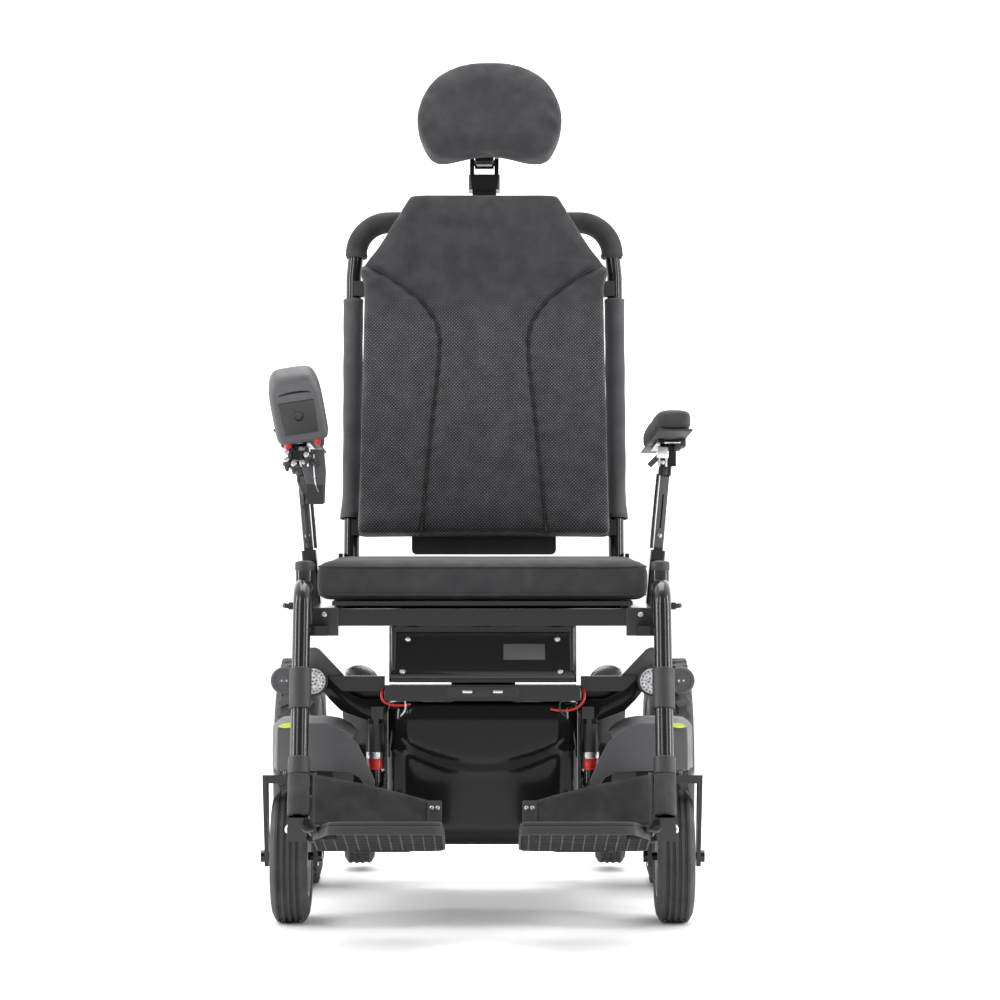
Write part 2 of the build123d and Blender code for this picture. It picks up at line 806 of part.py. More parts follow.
def make_joystick_lead():
    """The lead from under the swing pin, back to the upright and down its front face."""
    head = arm_head(-1)
    foot, up = arm_axis(-1)
    front = Vector(0, -19.2, 0)
    with BuildPart() as lead:
        with BuildLine() as route:
            FilletPolyline((swing.X, swing.Y, head.Z - 2.4), (swing.X, swing.Y, head.Z - 26),
                           foot + up * 148 + front, foot + up * 69 + front, radius=14)
        with BuildSketch(Plane(origin=route.line @ 0, z_dir=route.line % 0)):
            Circle(2.6)
        sweep()
    keep(lead, "joystick_lead")


def make_joystick():
    head = arm_head(-1)
    with BuildPart() as carrier:
        with Locations((swing.X, swing.Y, head.Z + 9)):
            Cylinder(5, 22)
        with Locations((swing.X, swing.Y + 4, head.Z + 24)):
            Box(26, 20, 10)
        with Locations((swing.X, swing.Y, head.Z + 0.5)):
            Cylinder(9, 5)
    with BuildPart() as pod:
        with BuildSketch(pod_plane(-20)):
            RectangleRounded(73, 114, 26)
        extrude(amount=40)
        fillet(pod.edges().filter_by(GeomType.LINE, reverse=True).sort_by(Axis.Y)[:2], 3)
        with BuildSketch(pod_plane(20)):
            with Locations((0, stick_at)):
                Circle(25)
        extrude(amount=-26, mode=Mode.SUBTRACT)
        with BuildSketch(pod_plane(20)):
            with Locations((0, button_at)):
                Rectangle(24.4, 14.4)
        extrude(amount=-10, mode=Mode.SUBTRACT)
        with Locations((swing.X, swing.Y + 4, head.Z + 35)):
            Box(24, 12, 12)
    keep_group([pod, carrier], "joystick_pod")
    pivot = pod_plane(8)
    origin = pivot.origin + pivot.y_dir * stick_at
    cross = Plane(origin=origin, x_dir=pivot.x_dir, z_dir=pivot.z_dir)
    with BuildPart() as ring:
        with BuildSketch(cross.offset(-3)):
            Circle(19)
            Circle(14, mode=Mode.SUBTRACT)
        extrude(amount=6)
        with BuildSketch(Plane(origin=origin, x_dir=pivot.z_dir, z_dir=pivot.x_dir)):
            Circle(2)
        extrude(amount=24, both=True)
        with BuildSketch(cross.offset(-4)):
            Circle(14)
        extrude(amount=8, mode=Mode.SUBTRACT)
    keep(ring, "joystick_gimbal")
    with BuildPart() as stick:
        with BuildSketch(cross.offset(-5)):
            Circle(5)
        extrude(amount=52)
        with BuildSketch(Plane(origin=origin, x_dir=pivot.z_dir, z_dir=pivot.y_dir)):
            Circle(2)
        extrude(amount=13.6, both=True)
        with BuildSketch(cross.offset(40)):
            Circle(11)
        extrude(amount=18)
        fillet(stick.faces().sort_by(Axis(origin, pivot.z_dir))[-1].edges(), 6)
    keep(stick, "joystick_stick")
    with BuildPart() as button:
        with BuildSketch(pod_plane(14)):
            with Locations((0, button_at)):
                Rectangle(24, 14)
        extrude(amount=9)
    keep(button, "power_button")


# --- leg rests ------------------------------------------------------------------------
def make_hangers():
    foot = (0, -470, 177)
    for name, side in SIDES:
        x = side * hanger_x
        with BuildPart() as hanger:
            with BuildLine() as route:
                FilletPolyline((x, hanger_y - 14, 488), (x, -372, 488), (x, foot[1], foot[2]), radius=34)
            with BuildSketch(Plane(origin=route.line @ 0, z_dir=route.line % 0)):
                Circle(hanger_radius)
            sweep()
            with Locations((x, hanger_y, 479)):
                Cylinder(12.5, 86)
            with Locations((x, hanger_y, 466)):
                Cylinder(hanger_pin_radius + running_gap, 66, mode=Mode.SUBTRACT)
            with BuildSketch(Plane.YZ.offset(side * 260)):
                with Locations((hanger_y, 461)):
                    Circle(2.5 + running_gap)
            extrude(amount=6 * side, mode=Mode.SUBTRACT)
        with BuildPart() as clamp:
            with Locations((x, foot[1], 161)):
                Box(26, 44, 32)
            pin = foot_plane(side)
            with BuildSketch(Plane(origin=pin.origin + pin.y_dir * -150 + pin.x_dir * side * foot_axis_x,
                                   x_dir=(1, 0, 0), z_dir=pin.y_dir)):
                Circle(foot_pin_radius)
            extrude(amount=134)
        keep_group([hanger, clamp], f"hanger_tube_{name}")
        with BuildPart() as lever:
            with BuildSketch(Plane.YZ.offset(side * 260)):
                with Locations((hanger_y, 461)):
                    Circle(2.5)
            extrude(amount=10 * side)
            with Locations((side * 270, hanger_y, 461)):
                Box(8, 12, 10)
            with Locations((side * 271, hanger_y - 14, 461)):
                Box(6, 30, 5)
        keep(lever, f"hanger_release_{name}")


def foot_plane(side):
    """The footplate's top face: Y runs towards the heel, Z up, pitched toe up."""
    pitch = math.radians(foot_pitch)
    return Plane(origin=(0, foot_heel_y, foot_heel_z), x_dir=(1, 0, 0),
                 z_dir=(0, math.sin(pitch), math.cos(pitch)))


def make_footplates():
    strap_in, strap_in_low, strap_in_high = 64.0, 4.0, 51.0
    strap_out, strap_out_low, strap_out_high = 228.0, 20.0, 92.0
    strap_behind, strap_thick = 5.5, 3.0
    for name, side in SIDES:
        top = foot_plane(side)
        middle = side * (foot_in + foot_out - 6) / 2
        with BuildPart() as plate:
            with BuildSketch(top):
                with Locations((middle, -foot_length / 2)):
                    RectangleRounded(foot_out - foot_in - 6, foot_length, 14)
                with Locations((middle, 0)):
                    Rectangle(80, 20)
            extrude(amount=-foot_thick)
            for along in (-130, -34):
                with BuildSketch(Plane(origin=top.origin + top.y_dir * along + top.x_dir * side * foot_axis_x,
                                       x_dir=(1, 0, 0), z_dir=top.y_dir)):
                    Circle(9)
                extrude(amount=18, both=False)
                with BuildSketch(Plane(origin=top.origin + top.y_dir * along + top.x_dir * side * 229,
                                       x_dir=(1, 0, 0), z_dir=top.y_dir)):
                    with Locations((0, 4)):
                        Rectangle(14, 8)
                extrude(amount=18)
            with BuildSketch(Plane(origin=top.origin + top.y_dir * -155 + top.x_dir * side * foot_axis_x,
                                   x_dir=(1, 0, 0), z_dir=top.y_dir)):
                Circle(foot_pin_radius + running_gap)
            extrude(amount=170, mode=Mode.SUBTRACT)
        keep(plate, f"footplate_{name}")
        with BuildPart() as strap:
            with BuildSketch(top.offset(0.3)):
                with Locations((side * 64, 2)):
                    Rectangle(20, 8)
            extrude(amount=strap_in_high + 3)
            with BuildSketch(Plane(origin=top.origin + top.y_dir * strap_behind, x_dir=(1, 0, 0),
                                   z_dir=-1 * top.y_dir)):
                with BuildLine():
                    Polyline((side * strap_in, strap_in_low), (side * strap_out, strap_out_low),
                             (side * strap_out, strap_out_high), (side * strap_in, strap_in_high),
                             (side * strap_in, strap_in_low))
                make_face()
            extrude(amount=-strap_thick)
        keep(strap, f"heel_strap_{name}")


make_batteries()
make_shrouds()
make_motors()
make_anti_tip_arms()
make_wheels()
make_casters()
make_fenders()
make_lights()
make_lift()
make_seat()
make_back()
make_headrest()
make_arms()
make_joystick()
make_joystick_lead()
make_hangers()
make_footplates()
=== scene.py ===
import json
import math

import bmesh
import bpy
from mathutils import Matrix, Vector


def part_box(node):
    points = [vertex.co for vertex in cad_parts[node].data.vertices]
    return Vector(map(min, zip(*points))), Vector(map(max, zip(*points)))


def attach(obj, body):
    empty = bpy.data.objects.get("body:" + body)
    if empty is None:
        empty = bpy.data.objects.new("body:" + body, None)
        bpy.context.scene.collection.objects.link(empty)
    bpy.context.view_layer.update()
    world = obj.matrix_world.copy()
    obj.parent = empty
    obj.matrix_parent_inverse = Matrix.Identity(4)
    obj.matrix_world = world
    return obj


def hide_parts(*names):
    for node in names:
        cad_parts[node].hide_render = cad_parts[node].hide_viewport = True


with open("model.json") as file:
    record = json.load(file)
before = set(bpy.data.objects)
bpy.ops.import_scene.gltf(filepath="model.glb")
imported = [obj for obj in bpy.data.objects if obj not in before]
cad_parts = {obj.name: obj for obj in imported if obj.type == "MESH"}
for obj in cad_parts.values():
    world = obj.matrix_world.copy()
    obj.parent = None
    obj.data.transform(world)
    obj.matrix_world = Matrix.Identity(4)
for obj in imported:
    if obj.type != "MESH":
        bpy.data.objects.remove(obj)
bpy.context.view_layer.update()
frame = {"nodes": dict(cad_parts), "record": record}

SIDES = (("left", 1.0), ("right", -1.0))
BACK_LEAN = math.radians(10.0)
BACK_UP = Vector((0, math.sin(BACK_LEAN), math.cos(BACK_LEAN)))
BACK_OUT = Vector((0, math.cos(BACK_LEAN), -math.sin(BACK_LEAN)))
RECLINE = Vector((0, 0.142, 0.500))


# --- materials ------------------------------------------------------------------------
class Graph:
    """A small builder for one node material."""

    def __init__(self, name):
        self.material = bpy.data.materials.new(name)
        self.material.use_nodes = True
        self.tree = self.material.node_tree
        self.shader = self.tree.nodes["Principled BSDF"]
        coords = self.tree.nodes.new("ShaderNodeTexCoord")
        self.coords = coords.outputs["Object"]

    def link(self, source, target):
        if isinstance(source, (int, float, tuple)):
            target.default_value = source
        else:
            self.tree.links.new(source, target)

    def math(self, operation, a, b=0.0):
        node = self.tree.nodes.new("ShaderNodeMath")
        node.operation = operation
        self.link(a, node.inputs[0])
        self.link(b, node.inputs[1])
        return node.outputs[0]

    def noise(self, scale, detail=4.0, stretch=(1, 1, 1)):
        mapping = self.tree.nodes.new("ShaderNodeMapping")
        mapping.inputs["Scale"].default_value = stretch
        self.link(self.coords, mapping.inputs["Vector"])
        node = self.tree.nodes.new("ShaderNodeTexNoise")
        node.inputs["Scale"].default_value = scale
        node.inputs["Detail"].default_value = detail
        self.link(mapping.outputs[0], node.inputs["Vector"])
        return node.outputs["Fac"]

    def axis(self, letter):
        split = self.tree.nodes.new("ShaderNodeSeparateXYZ")
        self.link(self.coords, split.inputs[0])
        return split.outputs[letter]

    def wave(self, source, pitch, offset=0.0):
        """A 0..1 sine along source, one period per pitch metres."""
        turned = self.math("MULTIPLY_ADD", source, 2 * math.pi / pitch)
        turned.node.inputs[2].default_value = offset
        sine = self.math("SINE", turned)
        half = self.math("MULTIPLY_ADD", sine, 0.5)
        half.node.inputs[2].default_value = 0.5
        return half

    def mix(self, factor, dark, light):
        node = self.tree.nodes.new("ShaderNodeMix")
        node.data_type = "RGBA"
        self.link(factor, node.inputs["Factor"])
        self.link(dark, node.inputs[6])
        self.link(light, node.inputs[7])
        return node.outputs[2]

    def spread(self, source, low, high):
        node = self.tree.nodes.new("ShaderNodeMapRange")
        self.link(source, node.inputs["Value"])
        node.inputs["From Min"].default_value = 0.3
        node.inputs["From Max"].default_value = 0.7
        node.inputs["To Min"].default_value = low
        node.inputs["To Max"].default_value = high
        return node.outputs[0]

    def bump(self, height, distance, strength=1.0):
        node = self.tree.nodes.new("ShaderNodeBump")
        node.inputs["Distance"].default_value = distance
        node.inputs["Strength"].default_value = strength
        self.link(height, node.inputs["Height"])
        self.link(node.outputs[0], self.shader.inputs["Normal"])

    def edge_wear(self, color, worn, amount):
        geometry = self.tree.nodes.new("ShaderNodeNewGeometry")
        edge = self.spread(geometry.outputs["Pointiness"], 0.0, amount)
        edge.node.inputs["From Min"].default_value = 0.52
        edge.node.inputs["From Max"].default_value = 0.62
        return self.mix(edge, color, worn)


def tint(color, factor):
    return tuple(min(1.0, c * factor) for c in color[:3]) + (1.0,)


def base_material(name, color, rough, metallic=0.0, coat=0.0, sheen=0.0, variation=0.18, wear=0.25,
        uneven=0.2):
    """Colour drifting over the surface, lighter worn edges and uneven roughness."""
    graph = Graph(name)
    drift = graph.noise(9.0, 5.0)
    shade = graph.mix(drift, tint(color, 1 - variation), tint(color, 1 + variation))
    if wear:
        shade = graph.edge_wear(shade, tint(color, 2.2), wear)
    graph.link(shade, graph.shader.inputs["Base Color"])
    spots = graph.noise(38.0, 6.0)
    graph.link(graph.spread(spots, rough * (1 - 0.9 * uneven), min(1.0, rough * (1 + uneven))),
        graph.shader.inputs["Roughness"])
    graph.shader.inputs["Metallic"].default_value = metallic
    graph.shader.inputs["Coat Weight"].default_value = coat
    graph.shader.inputs["Coat Roughness"].default_value = 0.06
    graph.shader.inputs["Sheen Weight"].default_value = sheen
    graph.shader.inputs["Sheen Roughness"].default_value = 0.45
    return graph


def gloss(name, color, rough=0.16, coat=0.3, specular=0.35):
    graph = base_material(name, color, rough, coat=coat, wear=0.0, uneven=0.04)
    graph.shader.inputs["Specular IOR Level"].default_value = specular
    return graph.material


def moulded(name, color, rough=0.55, grain=1500.0, depth=0.00018):
    graph = base_material(name, color, rough)
    graph.bump(graph.noise(grain, 3.0), depth)
    return graph.material


def metal(name, color, rough=0.32):
    graph = base_material(name, color, rough, metallic=1.0, variation=0.08)
    graph.bump(graph.noise(160.0, 4.0, (1, 1, 14)), 0.00008)
    return graph.material


def rubber(name, color, rough=0.78):
    graph = base_material(name, color, rough, variation=0.25, wear=0.5)
    graph.bump(graph.noise(650.0, 5.0), 0.00025)
    return graph.material


def knit(name, color):
    """Smooth stretch knit: fine wales across fine courses."""
    graph = base_material(name, color, 0.88, sheen=0.06, variation=0.05, wear=0.1)
    wales = graph.wave(graph.axis("X"), 0.0014)
    courses = graph.wave(graph.axis("Z"), 0.0011)
    stitch = graph.math("MULTIPLY", wales, courses)
    graph.bump(graph.math("ADD", stitch, graph.noise(180.0, 3.0)), 0.00035)
    return graph.material


def spacer_mesh(name, color):
    """Spacer mesh: rows of dark diamond holes, closing up into plain knit near the shoulders, where the
    knit is also darkened as painted shade.
    """
    graph = base_material(name, color, 0.85, sheen=0.06, variation=0.05, wear=0.0)
    pitch = 0.0052
    x, z = graph.axis("X"), graph.axis("Z")
    first = graph.wave(graph.math("ADD", x, z), pitch)
    second = graph.wave(graph.math("SUBTRACT", x, z), pitch)
    cell = graph.math("MULTIPLY", first, second)
    hole = graph.spread(cell, 0.0, 1.0)
    # Mask: 1 where the mesh is open, 0 at the top where the holes close and painted shade darkens the
    # knit.
    open_vs_painted_shade = graph.spread(z, 1.0, 0.0)
    open_vs_painted_shade.node.inputs["From Min"].default_value = MESH_HOLES_UNSHADED_BELOW
    open_vs_painted_shade.node.inputs["From Max"].default_value = MESH_PLAIN_SHADED_ABOVE
    holes = graph.mix(hole, tint(color, 0.30), tint(color, 2.7))
    # Painted shade: above the holes the knit is darkened to 0.45 of its colour, standing in for shadow
    # where the pad curves under.
    shade = graph.mix(open_vs_painted_shade, tint(color, 0.45), holes)
    graph.link(shade, graph.shader.inputs["Base Color"])
    graph.bump(graph.math("MULTIPLY", cell, open_vs_painted_shade), 0.0009)
    return graph.material


def webbing(name, color):
    graph = base_material(name, color, 0.8, sheen=0.05, wear=0.1)
    warp = graph.wave(graph.axis("Z"), 0.0030)
    weft = graph.wave(graph.axis("X"), 0.0022)
    weave = graph.math("ABSOLUTE", graph.math("SUBTRACT", warp, weft))
    shade = graph.mix(weave, tint(color, 0.6), tint(color, 1.9))
    graph.link(shade, graph.shader.inputs["Base Color"])
    graph.bump(weave, 0.0006)
    return graph.material


def lamp_glass(name):
    """A faceted lens over a bright reflector, with a faint painted glow for the reflector's glint."""
    graph = base_material(name, (0.55, 0.56, 0.58), 0.12, coat=1.0, variation=0.06, wear=0.0)
    cells = graph.tree.nodes.new("ShaderNodeTexVoronoi")
    cells.inputs["Scale"].default_value = 190.0
    graph.link(graph.coords, cells.inputs["Vector"])
    shade = graph.mix(cells.outputs["Distance"], (0.70, 0.70, 0.72, 1), (0.22, 0.22, 0.24, 1))
    graph.link(shade, graph.shader.inputs["Base Color"])
    graph.bump(cells.outputs["Distance"], 0.0012)
    # Painted glow: a faint emission standing in for the reflector's glint; the disc dots and the white
    # wire that share this material glow too.
    graph.shader.inputs["Emission Color"].default_value = (0.9, 0.95, 1.0, 1)
    graph.shader.inputs["Emission Strength"].default_value = 0.04
    return graph.material


BLACK = (0.012, 0.012, 0.013)
# Heights where the mesh holes close up and the painted shade near the pad's top comes in.
MESH_HOLES_UNSHADED_BELOW, MESH_PLAIN_SHADED_ABOVE = 0.87, 0.95
MATERIALS = {"black_metal": gloss("powder_black", (0.008, 0.008, 0.009), 0.2, 0.3, 0.3),
    "shroud": gloss("gloss_shroud", tint(BLACK, 0.6), 0.14, 0.1, 0.16),
    "grey_plastic": moulded("grey_plastic", (0.06, 0.06, 0.064), 0.5),
    "black_plastic": moulded("black_plastic", (0.015, 0.015, 0.016), 0.55),
    "tyre": rubber("tyre_rubber", (0.03, 0.03, 0.03)), "fabric": knit("stretch_knit",
    (0.023, 0.023, 0.027)), "mesh": spacer_mesh("spacer_mesh", (0.036, 0.036, 0.041)),
    "webbing": webbing("webbing", (0.022, 0.022, 0.023)), "foam": rubber("grip_foam",
    (0.02, 0.02, 0.021), 0.9), "accent": gloss("lime_accent", (0.45, 0.62, 0.05), 0.25),
    "steel": metal("steel", (0.55, 0.55, 0.57)), "aluminium": metal("aluminium", (0.72, 0.72, 0.74),
    0.28), "lens": lamp_glass("lamp_glass"), "red": gloss("red_plastic", (0.5, 0.02, 0.015), 0.3),
    "light_fabric": knit("sleeve_knit", (0.055, 0.055, 0.06)),
    "cover_fabric": knit("cover_knit", (0.022, 0.022, 0.024)),}
NODE_SLOTS = {row["node"]: row["material_slot"] for row in frame["record"]["subparts"]}


def dress(node, material):
    slots = frame["nodes"][node].data.materials
    slots.clear()
    slots.append(MATERIALS[material])


for node_name, slot_name in NODE_SLOTS.items():
    dress(node_name, slot_name)


# --- stage, lights and camera ---------------------------------------------------------
SKY_FRONT, SKY_BACK = 0.22, 1.95
CAMERA_AT = (0.025, -5.010, 0.604)
CAMERA_LENS, CAMERA_SENSOR, CAMERA_SHIFT = 119.2, 36.0, 0.005
LIGHTS = (("key", (-1.6, -2.6, 2.6), (0, 0, 0.6), (1.0, 1.8), 34),
    ("fill", (1.8, -2.4, 1.8), (0, 0, 0.5), (0.5, 2.2), 22),
    ("top", (0, 0.4, 3.4), (0, 0, 0), (2.4, 2.4), 85), ("strip_left", (-2.2, -0.6, 0.9), (0, 0, 0.5),
    (0.25, 2.0), 30), ("strip_right", (2.2, -0.6, 0.9), (0, 0, 0.5), (0.25, 2.0), 30))


def make_stage():
    """A white floor and a sky that is bright behind the chair and dim in front of it."""
    bpy.ops.mesh.primitive_plane_add(size=300)
    floor = bpy.context.object
    floor.name = "floor"
    graph = base_material("floor_white", (0.96, 0.96, 0.96), 0.7, variation=0.01, wear=0.0)
    floor.data.materials.append(graph.material)
    world = bpy.data.worlds.new("studio")
    bpy.context.scene.world = world
    world.use_nodes = True
    tree = world.node_tree
    tree.nodes["Background"].inputs[0].default_value = (1, 1, 1, 1)
    direction = tree.nodes.new("ShaderNodeTexCoord")
    split = tree.nodes.new("ShaderNodeSeparateXYZ")
    tree.links.new(direction.outputs["Generated"], split.inputs[0])
    ramp = tree.nodes.new("ShaderNodeMapRange")
    tree.links.new(split.outputs["Y"], ramp.inputs["Value"])
    for key, value in (("From Min", -0.6), ("From Max", 0.15), ("To Min", SKY_FRONT),
            ("To Max", SKY_BACK)):
        ramp.inputs[key].default_value = value
    tree.links.new(ramp.outputs[0], tree.nodes["Background"].inputs[1])
    bpy.context.scene.view_settings.view_transform = "Standard"


def make_light(name, place, aim, size, power):
    data = bpy.data.lights.new(name, "AREA")
    data.shape = "RECTANGLE"
    data.size, data.size_y = size
    data.energy = power
    lamp = bpy.data.objects.new(name, data)
    bpy.context.collection.objects.link(lamp)
    lamp.location = place
    lamp.rotation_euler = (Vector(aim) - Vector(place)).to_track_quat("-Z", "Y").to_euler()


def make_camera():
    data = bpy.data.cameras.new("camera")
    data.lens, data.sensor_width, data.shift_y = CAMERA_LENS, CAMERA_SENSOR, CAMERA_SHIFT
    camera = bpy.data.objects.new("camera", data)
    bpy.context.collection.objects.link(camera)
    camera.location = CAMERA_AT
    camera.rotation_euler = (math.radians(90), 0, 0)
    bpy.context.scene.camera = camera


make_stage()
for light in LIGHTS:
    make_light(*light)
make_camera()


# --- mesh tools -----------------------------------------------------------------------
SHARP_ANGLE = math.radians(35)


def place(obj, body, slot=None, nodes=()):
    """Rides a piece on its body and hides the CAD nodes it stands for; the slot argument is not used."""
    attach(obj, body)
    if nodes:
        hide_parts(*nodes)
    return obj


def select_only(obj):
    bpy.ops.object.select_all(action="DESELECT")
    obj.select_set(True)
    bpy.context.view_layer.objects.active = obj


def apply_modifiers(obj):
    select_only(obj)
    for modifier in list(obj.modifiers):
        bpy.ops.object.modifier_apply(modifier=modifier.name)


def shade_smooth(obj):
    for polygon in obj.data.polygons:
        polygon.use_smooth = True
    return obj


def thicken(obj, thickness):
    obj.modifiers.new("thickness", "SOLIDIFY").thickness = thickness
    apply_modifiers(obj)


def angles(count):
    return [2 * math.pi * step / count for step in range(count)]


def spun(at, share):
    """A placing matrix turned about its own Z by a share of a full turn."""
    return at @ Matrix.Rotation(2 * math.pi * share, 4, "Z")


def facing_front(y):
    """A placing matrix for plates that face the front: X across, Y up, Z forward."""
    return Matrix.Translation((0, y, 0)) @ Matrix.Rotation(math.radians(90), 4, "X")


def bridge(mesh, rows, closed=True):
    """Faces from each row of vertices to the next; closed rows also join their two ends."""
    for here, there in zip(rows, rows[1:]):
        count = len(here)
        for k in range(count if closed else count - 1):
            after = (k + 1) % count
            mesh.faces.new((here[k], here[after], there[after], there[k]))


def from_bmesh(name, mesh, material, bevel=0.0, segments=3):
    bmesh.ops.recalc_face_normals(mesh, faces=mesh.faces)
    data = bpy.data.meshes.new(name)
    mesh.to_mesh(data)
    mesh.free()
    obj = bpy.data.objects.new(name, data)
    bpy.context.collection.objects.link(obj)
    data.materials.append(MATERIALS[material])
    if bevel:
        modifier = obj.modifiers.new("bevel", "BEVEL")
        modifier.width = bevel
        modifier.segments = segments
        modifier.limit_method = "ANGLE"
    apply_modifiers(obj)
    shade_smooth(obj).data.set_sharp_from_angle(angle=SHARP_ANGLE)
    return obj


def axes(centre, x_dir=(1, 0, 0), z_dir=(0, 0, 1)):
    """A placing matrix with its X and Z along the given directions."""
    z = Vector(z_dir).normalized()
    x = Vector(x_dir)
    x = (x - z * x.dot(z)).normalized()
    turn = Matrix((x, z.cross(x), z)).transposed().to_4x4()
    return Matrix.Translation(Vector(centre)) @ turn


def block(name, frame_at, size, material, bevel=0.002):
    """A bevelled block of the given size, centred on a placing matrix."""
    mesh = bmesh.new()
    bmesh.ops.create_cube(mesh, size=1.0, matrix=frame_at @ Matrix.Diagonal((*size, 1)))
    return from_bmesh(name, mesh, material, bevel)


def turned(name, frame_at, profile, material, segments=40):
    """A lathe piece: profile is (radius, height) pairs along the matrix's Z."""
    mesh = bmesh.new()
    rings = []
    for radius, height in profile:
        if radius < 1e-6:
            rings.append([mesh.verts.new(frame_at @ Vector((0, 0, height)))])
            continue
        rings.append([mesh.verts.new(frame_at @ Vector((radius * math.cos(a), radius * math.sin(a),
            height))) for a in angles(segments)])
    for low, high in zip(rings, rings[1:]):
        for step in range(segments):
            after = (step + 1) % segments
            if len(low) == 1:
                mesh.faces.new((low[0], high[after], high[step]))
            elif len(high) == 1:
                mesh.faces.new((low[step], low[after], high[0]))
            else:
                mesh.faces.new((low[step], low[after], high[after], high[step]))
    for ring in (rings[0], rings[-1]):
        if len(ring) > 1:
            mesh.faces.new(ring)
    return from_bmesh(name, mesh, material)


def ring_of(name, frame_at, profile, material, segments=96):
    """A closed ring: profile is a closed loop of (radius, height) pairs."""
    mesh = bmesh.new()
    loops = [[mesh.verts.new(frame_at @ Matrix.Rotation(angle, 4, "Z") @ Vector((r, 0, h))) for r,
        h in profile] for angle in angles(segments)]
    bridge(mesh, loops + loops[:1])
    return from_bmesh(name, mesh, material)


def pipe(name, points, radius, material, closed=False):
    """A round strand along points, turned into a mesh."""
    data = bpy.data.curves.new(name, "CURVE")
    data.dimensions = "3D"
    spline = data.splines.new("NURBS")
    spline.points.add(len(points) - 1)
    for item, point in zip(spline.points, points):
        item.co = (*point, 1)
    spline.use_cyclic_u = closed
    spline.order_u = 3
    spline.use_endpoint_u = not closed
    data.resolution_u = 8
    data.bevel_depth = radius
    data.bevel_resolution = 4
    data.use_fill_caps = True
    obj = bpy.data.objects.new(name, data)
    bpy.context.collection.objects.link(obj)
    data.materials.append(MATERIALS[material])
    select_only(obj)
    bpy.ops.object.convert(target="MESH")
    return shade_smooth(bpy.context.object)


def plate(name, frame_at, outline, thickness, material, bevel=0.0015):
    """A flat plate: outline is (x, y) pairs on the matrix's plane, thickened along its Z."""
    mesh = bmesh.new()
    low = [mesh.verts.new(frame_at @ Vector((x, y, 0))) for x, y in outline]
    face = mesh.faces.new(low)
    extruded = bmesh.ops.extrude_face_region(mesh, geom=[face])
    top = [item for item in extruded["geom"] if isinstance(item, bmesh.types.BMVert)]
    shift = frame_at.to_3x3() @ Vector((0, 0, thickness))
    bmesh.ops.translate(mesh, verts=top, vec=shift)
    return from_bmesh(name, mesh, material, bevel)


def join(name, objects):
    select_only(objects[0])
    for obj in objects:
        obj.select_set(True)
    bpy.ops.object.join()
    joined = bpy.context.object
    joined.name = name
    return joined


def bolt(name, centre, direction, radius, material="steel"):
    """A domed socket screw whose head stands out along direction."""
    at = axes(centre, (0.3, 0.2, 1) if abs(direction[0]) > 0.5 else (1, 0, 0), direction)
    profile = [(radius * 0.9, -radius * 0.2), (radius, 0), (radius, radius * 0.35),
        (radius * 0.75, radius * 0.7), (radius * 0.45, radius * 0.78), (radius * 0.42, radius * 0.3),
        (0, radius * 0.3)]
    return turned(name, at, profile, material, 24)


def inflate(obj, voxel=0.006, pressure=4.0, cap=0.012, frames=20):
    """Swells a closed form as padded cloth, within cap of its start, then smooths it."""
    modifier = obj.modifiers.new("remesh", "REMESH")
    modifier.mode = "VOXEL"
    modifier.voxel_size = voxel
    apply_modifiers(obj)
    start = [v.co.copy() for v in obj.data.vertices]
    cloth = obj.modifiers.new("cloth", "CLOTH")
    cloth.settings.use_pressure = True
    cloth.settings.uniform_pressure_force = pressure
    cloth.settings.effector_weights.gravity = 0.0
    cloth.settings.quality = 4
    cloth.settings.tension_stiffness = 18
    cloth.settings.compression_stiffness = 18
    cloth.settings.bending_stiffness = 1.5
    cloth.point_cache.frame_start = 1
    cloth.point_cache.frame_end = frames
    for number in range(1, frames + 1):
        bpy.context.scene.frame_set(number)
    apply_modifiers(obj)
    bpy.context.scene.frame_set(1)
    for vertex, rest in zip(obj.data.vertices, start):
        moved = vertex.co - rest
        if moved.length > cap:
            vertex.co = rest + moved * (cap / moved.length)
    smooth = obj.modifiers.new("smooth", "SMOOTH")
    smooth.factor = 0.5
    smooth.iterations = 4
    apply_modifiers(obj)
    return shade_smooth(obj)


def subdivided(obj, levels=1):
    obj.modifiers.new("subdivision", "SUBSURF").levels = levels
    apply_modifiers(obj)
    return shade_smooth(obj)


def back_point(x, up, out):
    """A point on the reclined back in metres: up along it, out behind the recline pivot."""
    point = RECLINE + BACK_UP * up + BACK_OUT * out
    point.x = x
    return point
# --- soft goods -----------------------------------------------------------------------
PAD_LOW, PAD_FRONT, PAD_BACK = 0.050, -0.081, -0.019
SHOULDER = 0.424
PAD_HALF = ((0.0, 0.196), (SHOULDER, 0.190), (0.545, 0.114))
SEAM = ((0.0, 0.096), (0.11, 0.086), (0.20, 0.077), (0.26, 0.070), (0.303, 0.068), (0.331, 0.074),
    (0.366, 0.098), (0.401, 0.143), (SHOULDER, 0.187))


def along(table, up):
    """Straight-line reading of a (height, value) list."""
    for (low, a), (high, b) in zip(table, table[1:]):
        if up <= high:
            return a + (b - a) * max(0.0, up - low) / (high - low)
    return table[-1][1]


def box_form(name, place_at, half, material, crown=0.0, cuts=14, power=6.0):
    """A rounded box in its own axes with crowned faces and sides pulled in between the corners."""
    mesh = bmesh.new()
    bmesh.ops.create_cube(mesh, size=2.0)
    bmesh.ops.subdivide_edges(mesh, edges=mesh.edges, cuts=cuts, use_grid_fill=True)
    for vertex in mesh.verts:
        p = vertex.co
        scale = 1.0 / (abs(p.x) ** power + abs(p.y) ** power + abs(p.z) ** power) ** (1 / power)
        q = p * scale
        pull = 1 - 0.012 * (1 - p.z * p.z) * (1 - min(p.x * p.x, p.y * p.y))
        q.x *= pull
        q.y *= pull
        lift = crown * (1 - q.x * q.x) * (1 - q.y * q.y)
        vertex.co = place_at @ Vector((q.x * half[0], q.y * half[1], q.z * (half[2] + lift)))
    return from_bmesh(name, mesh, material)


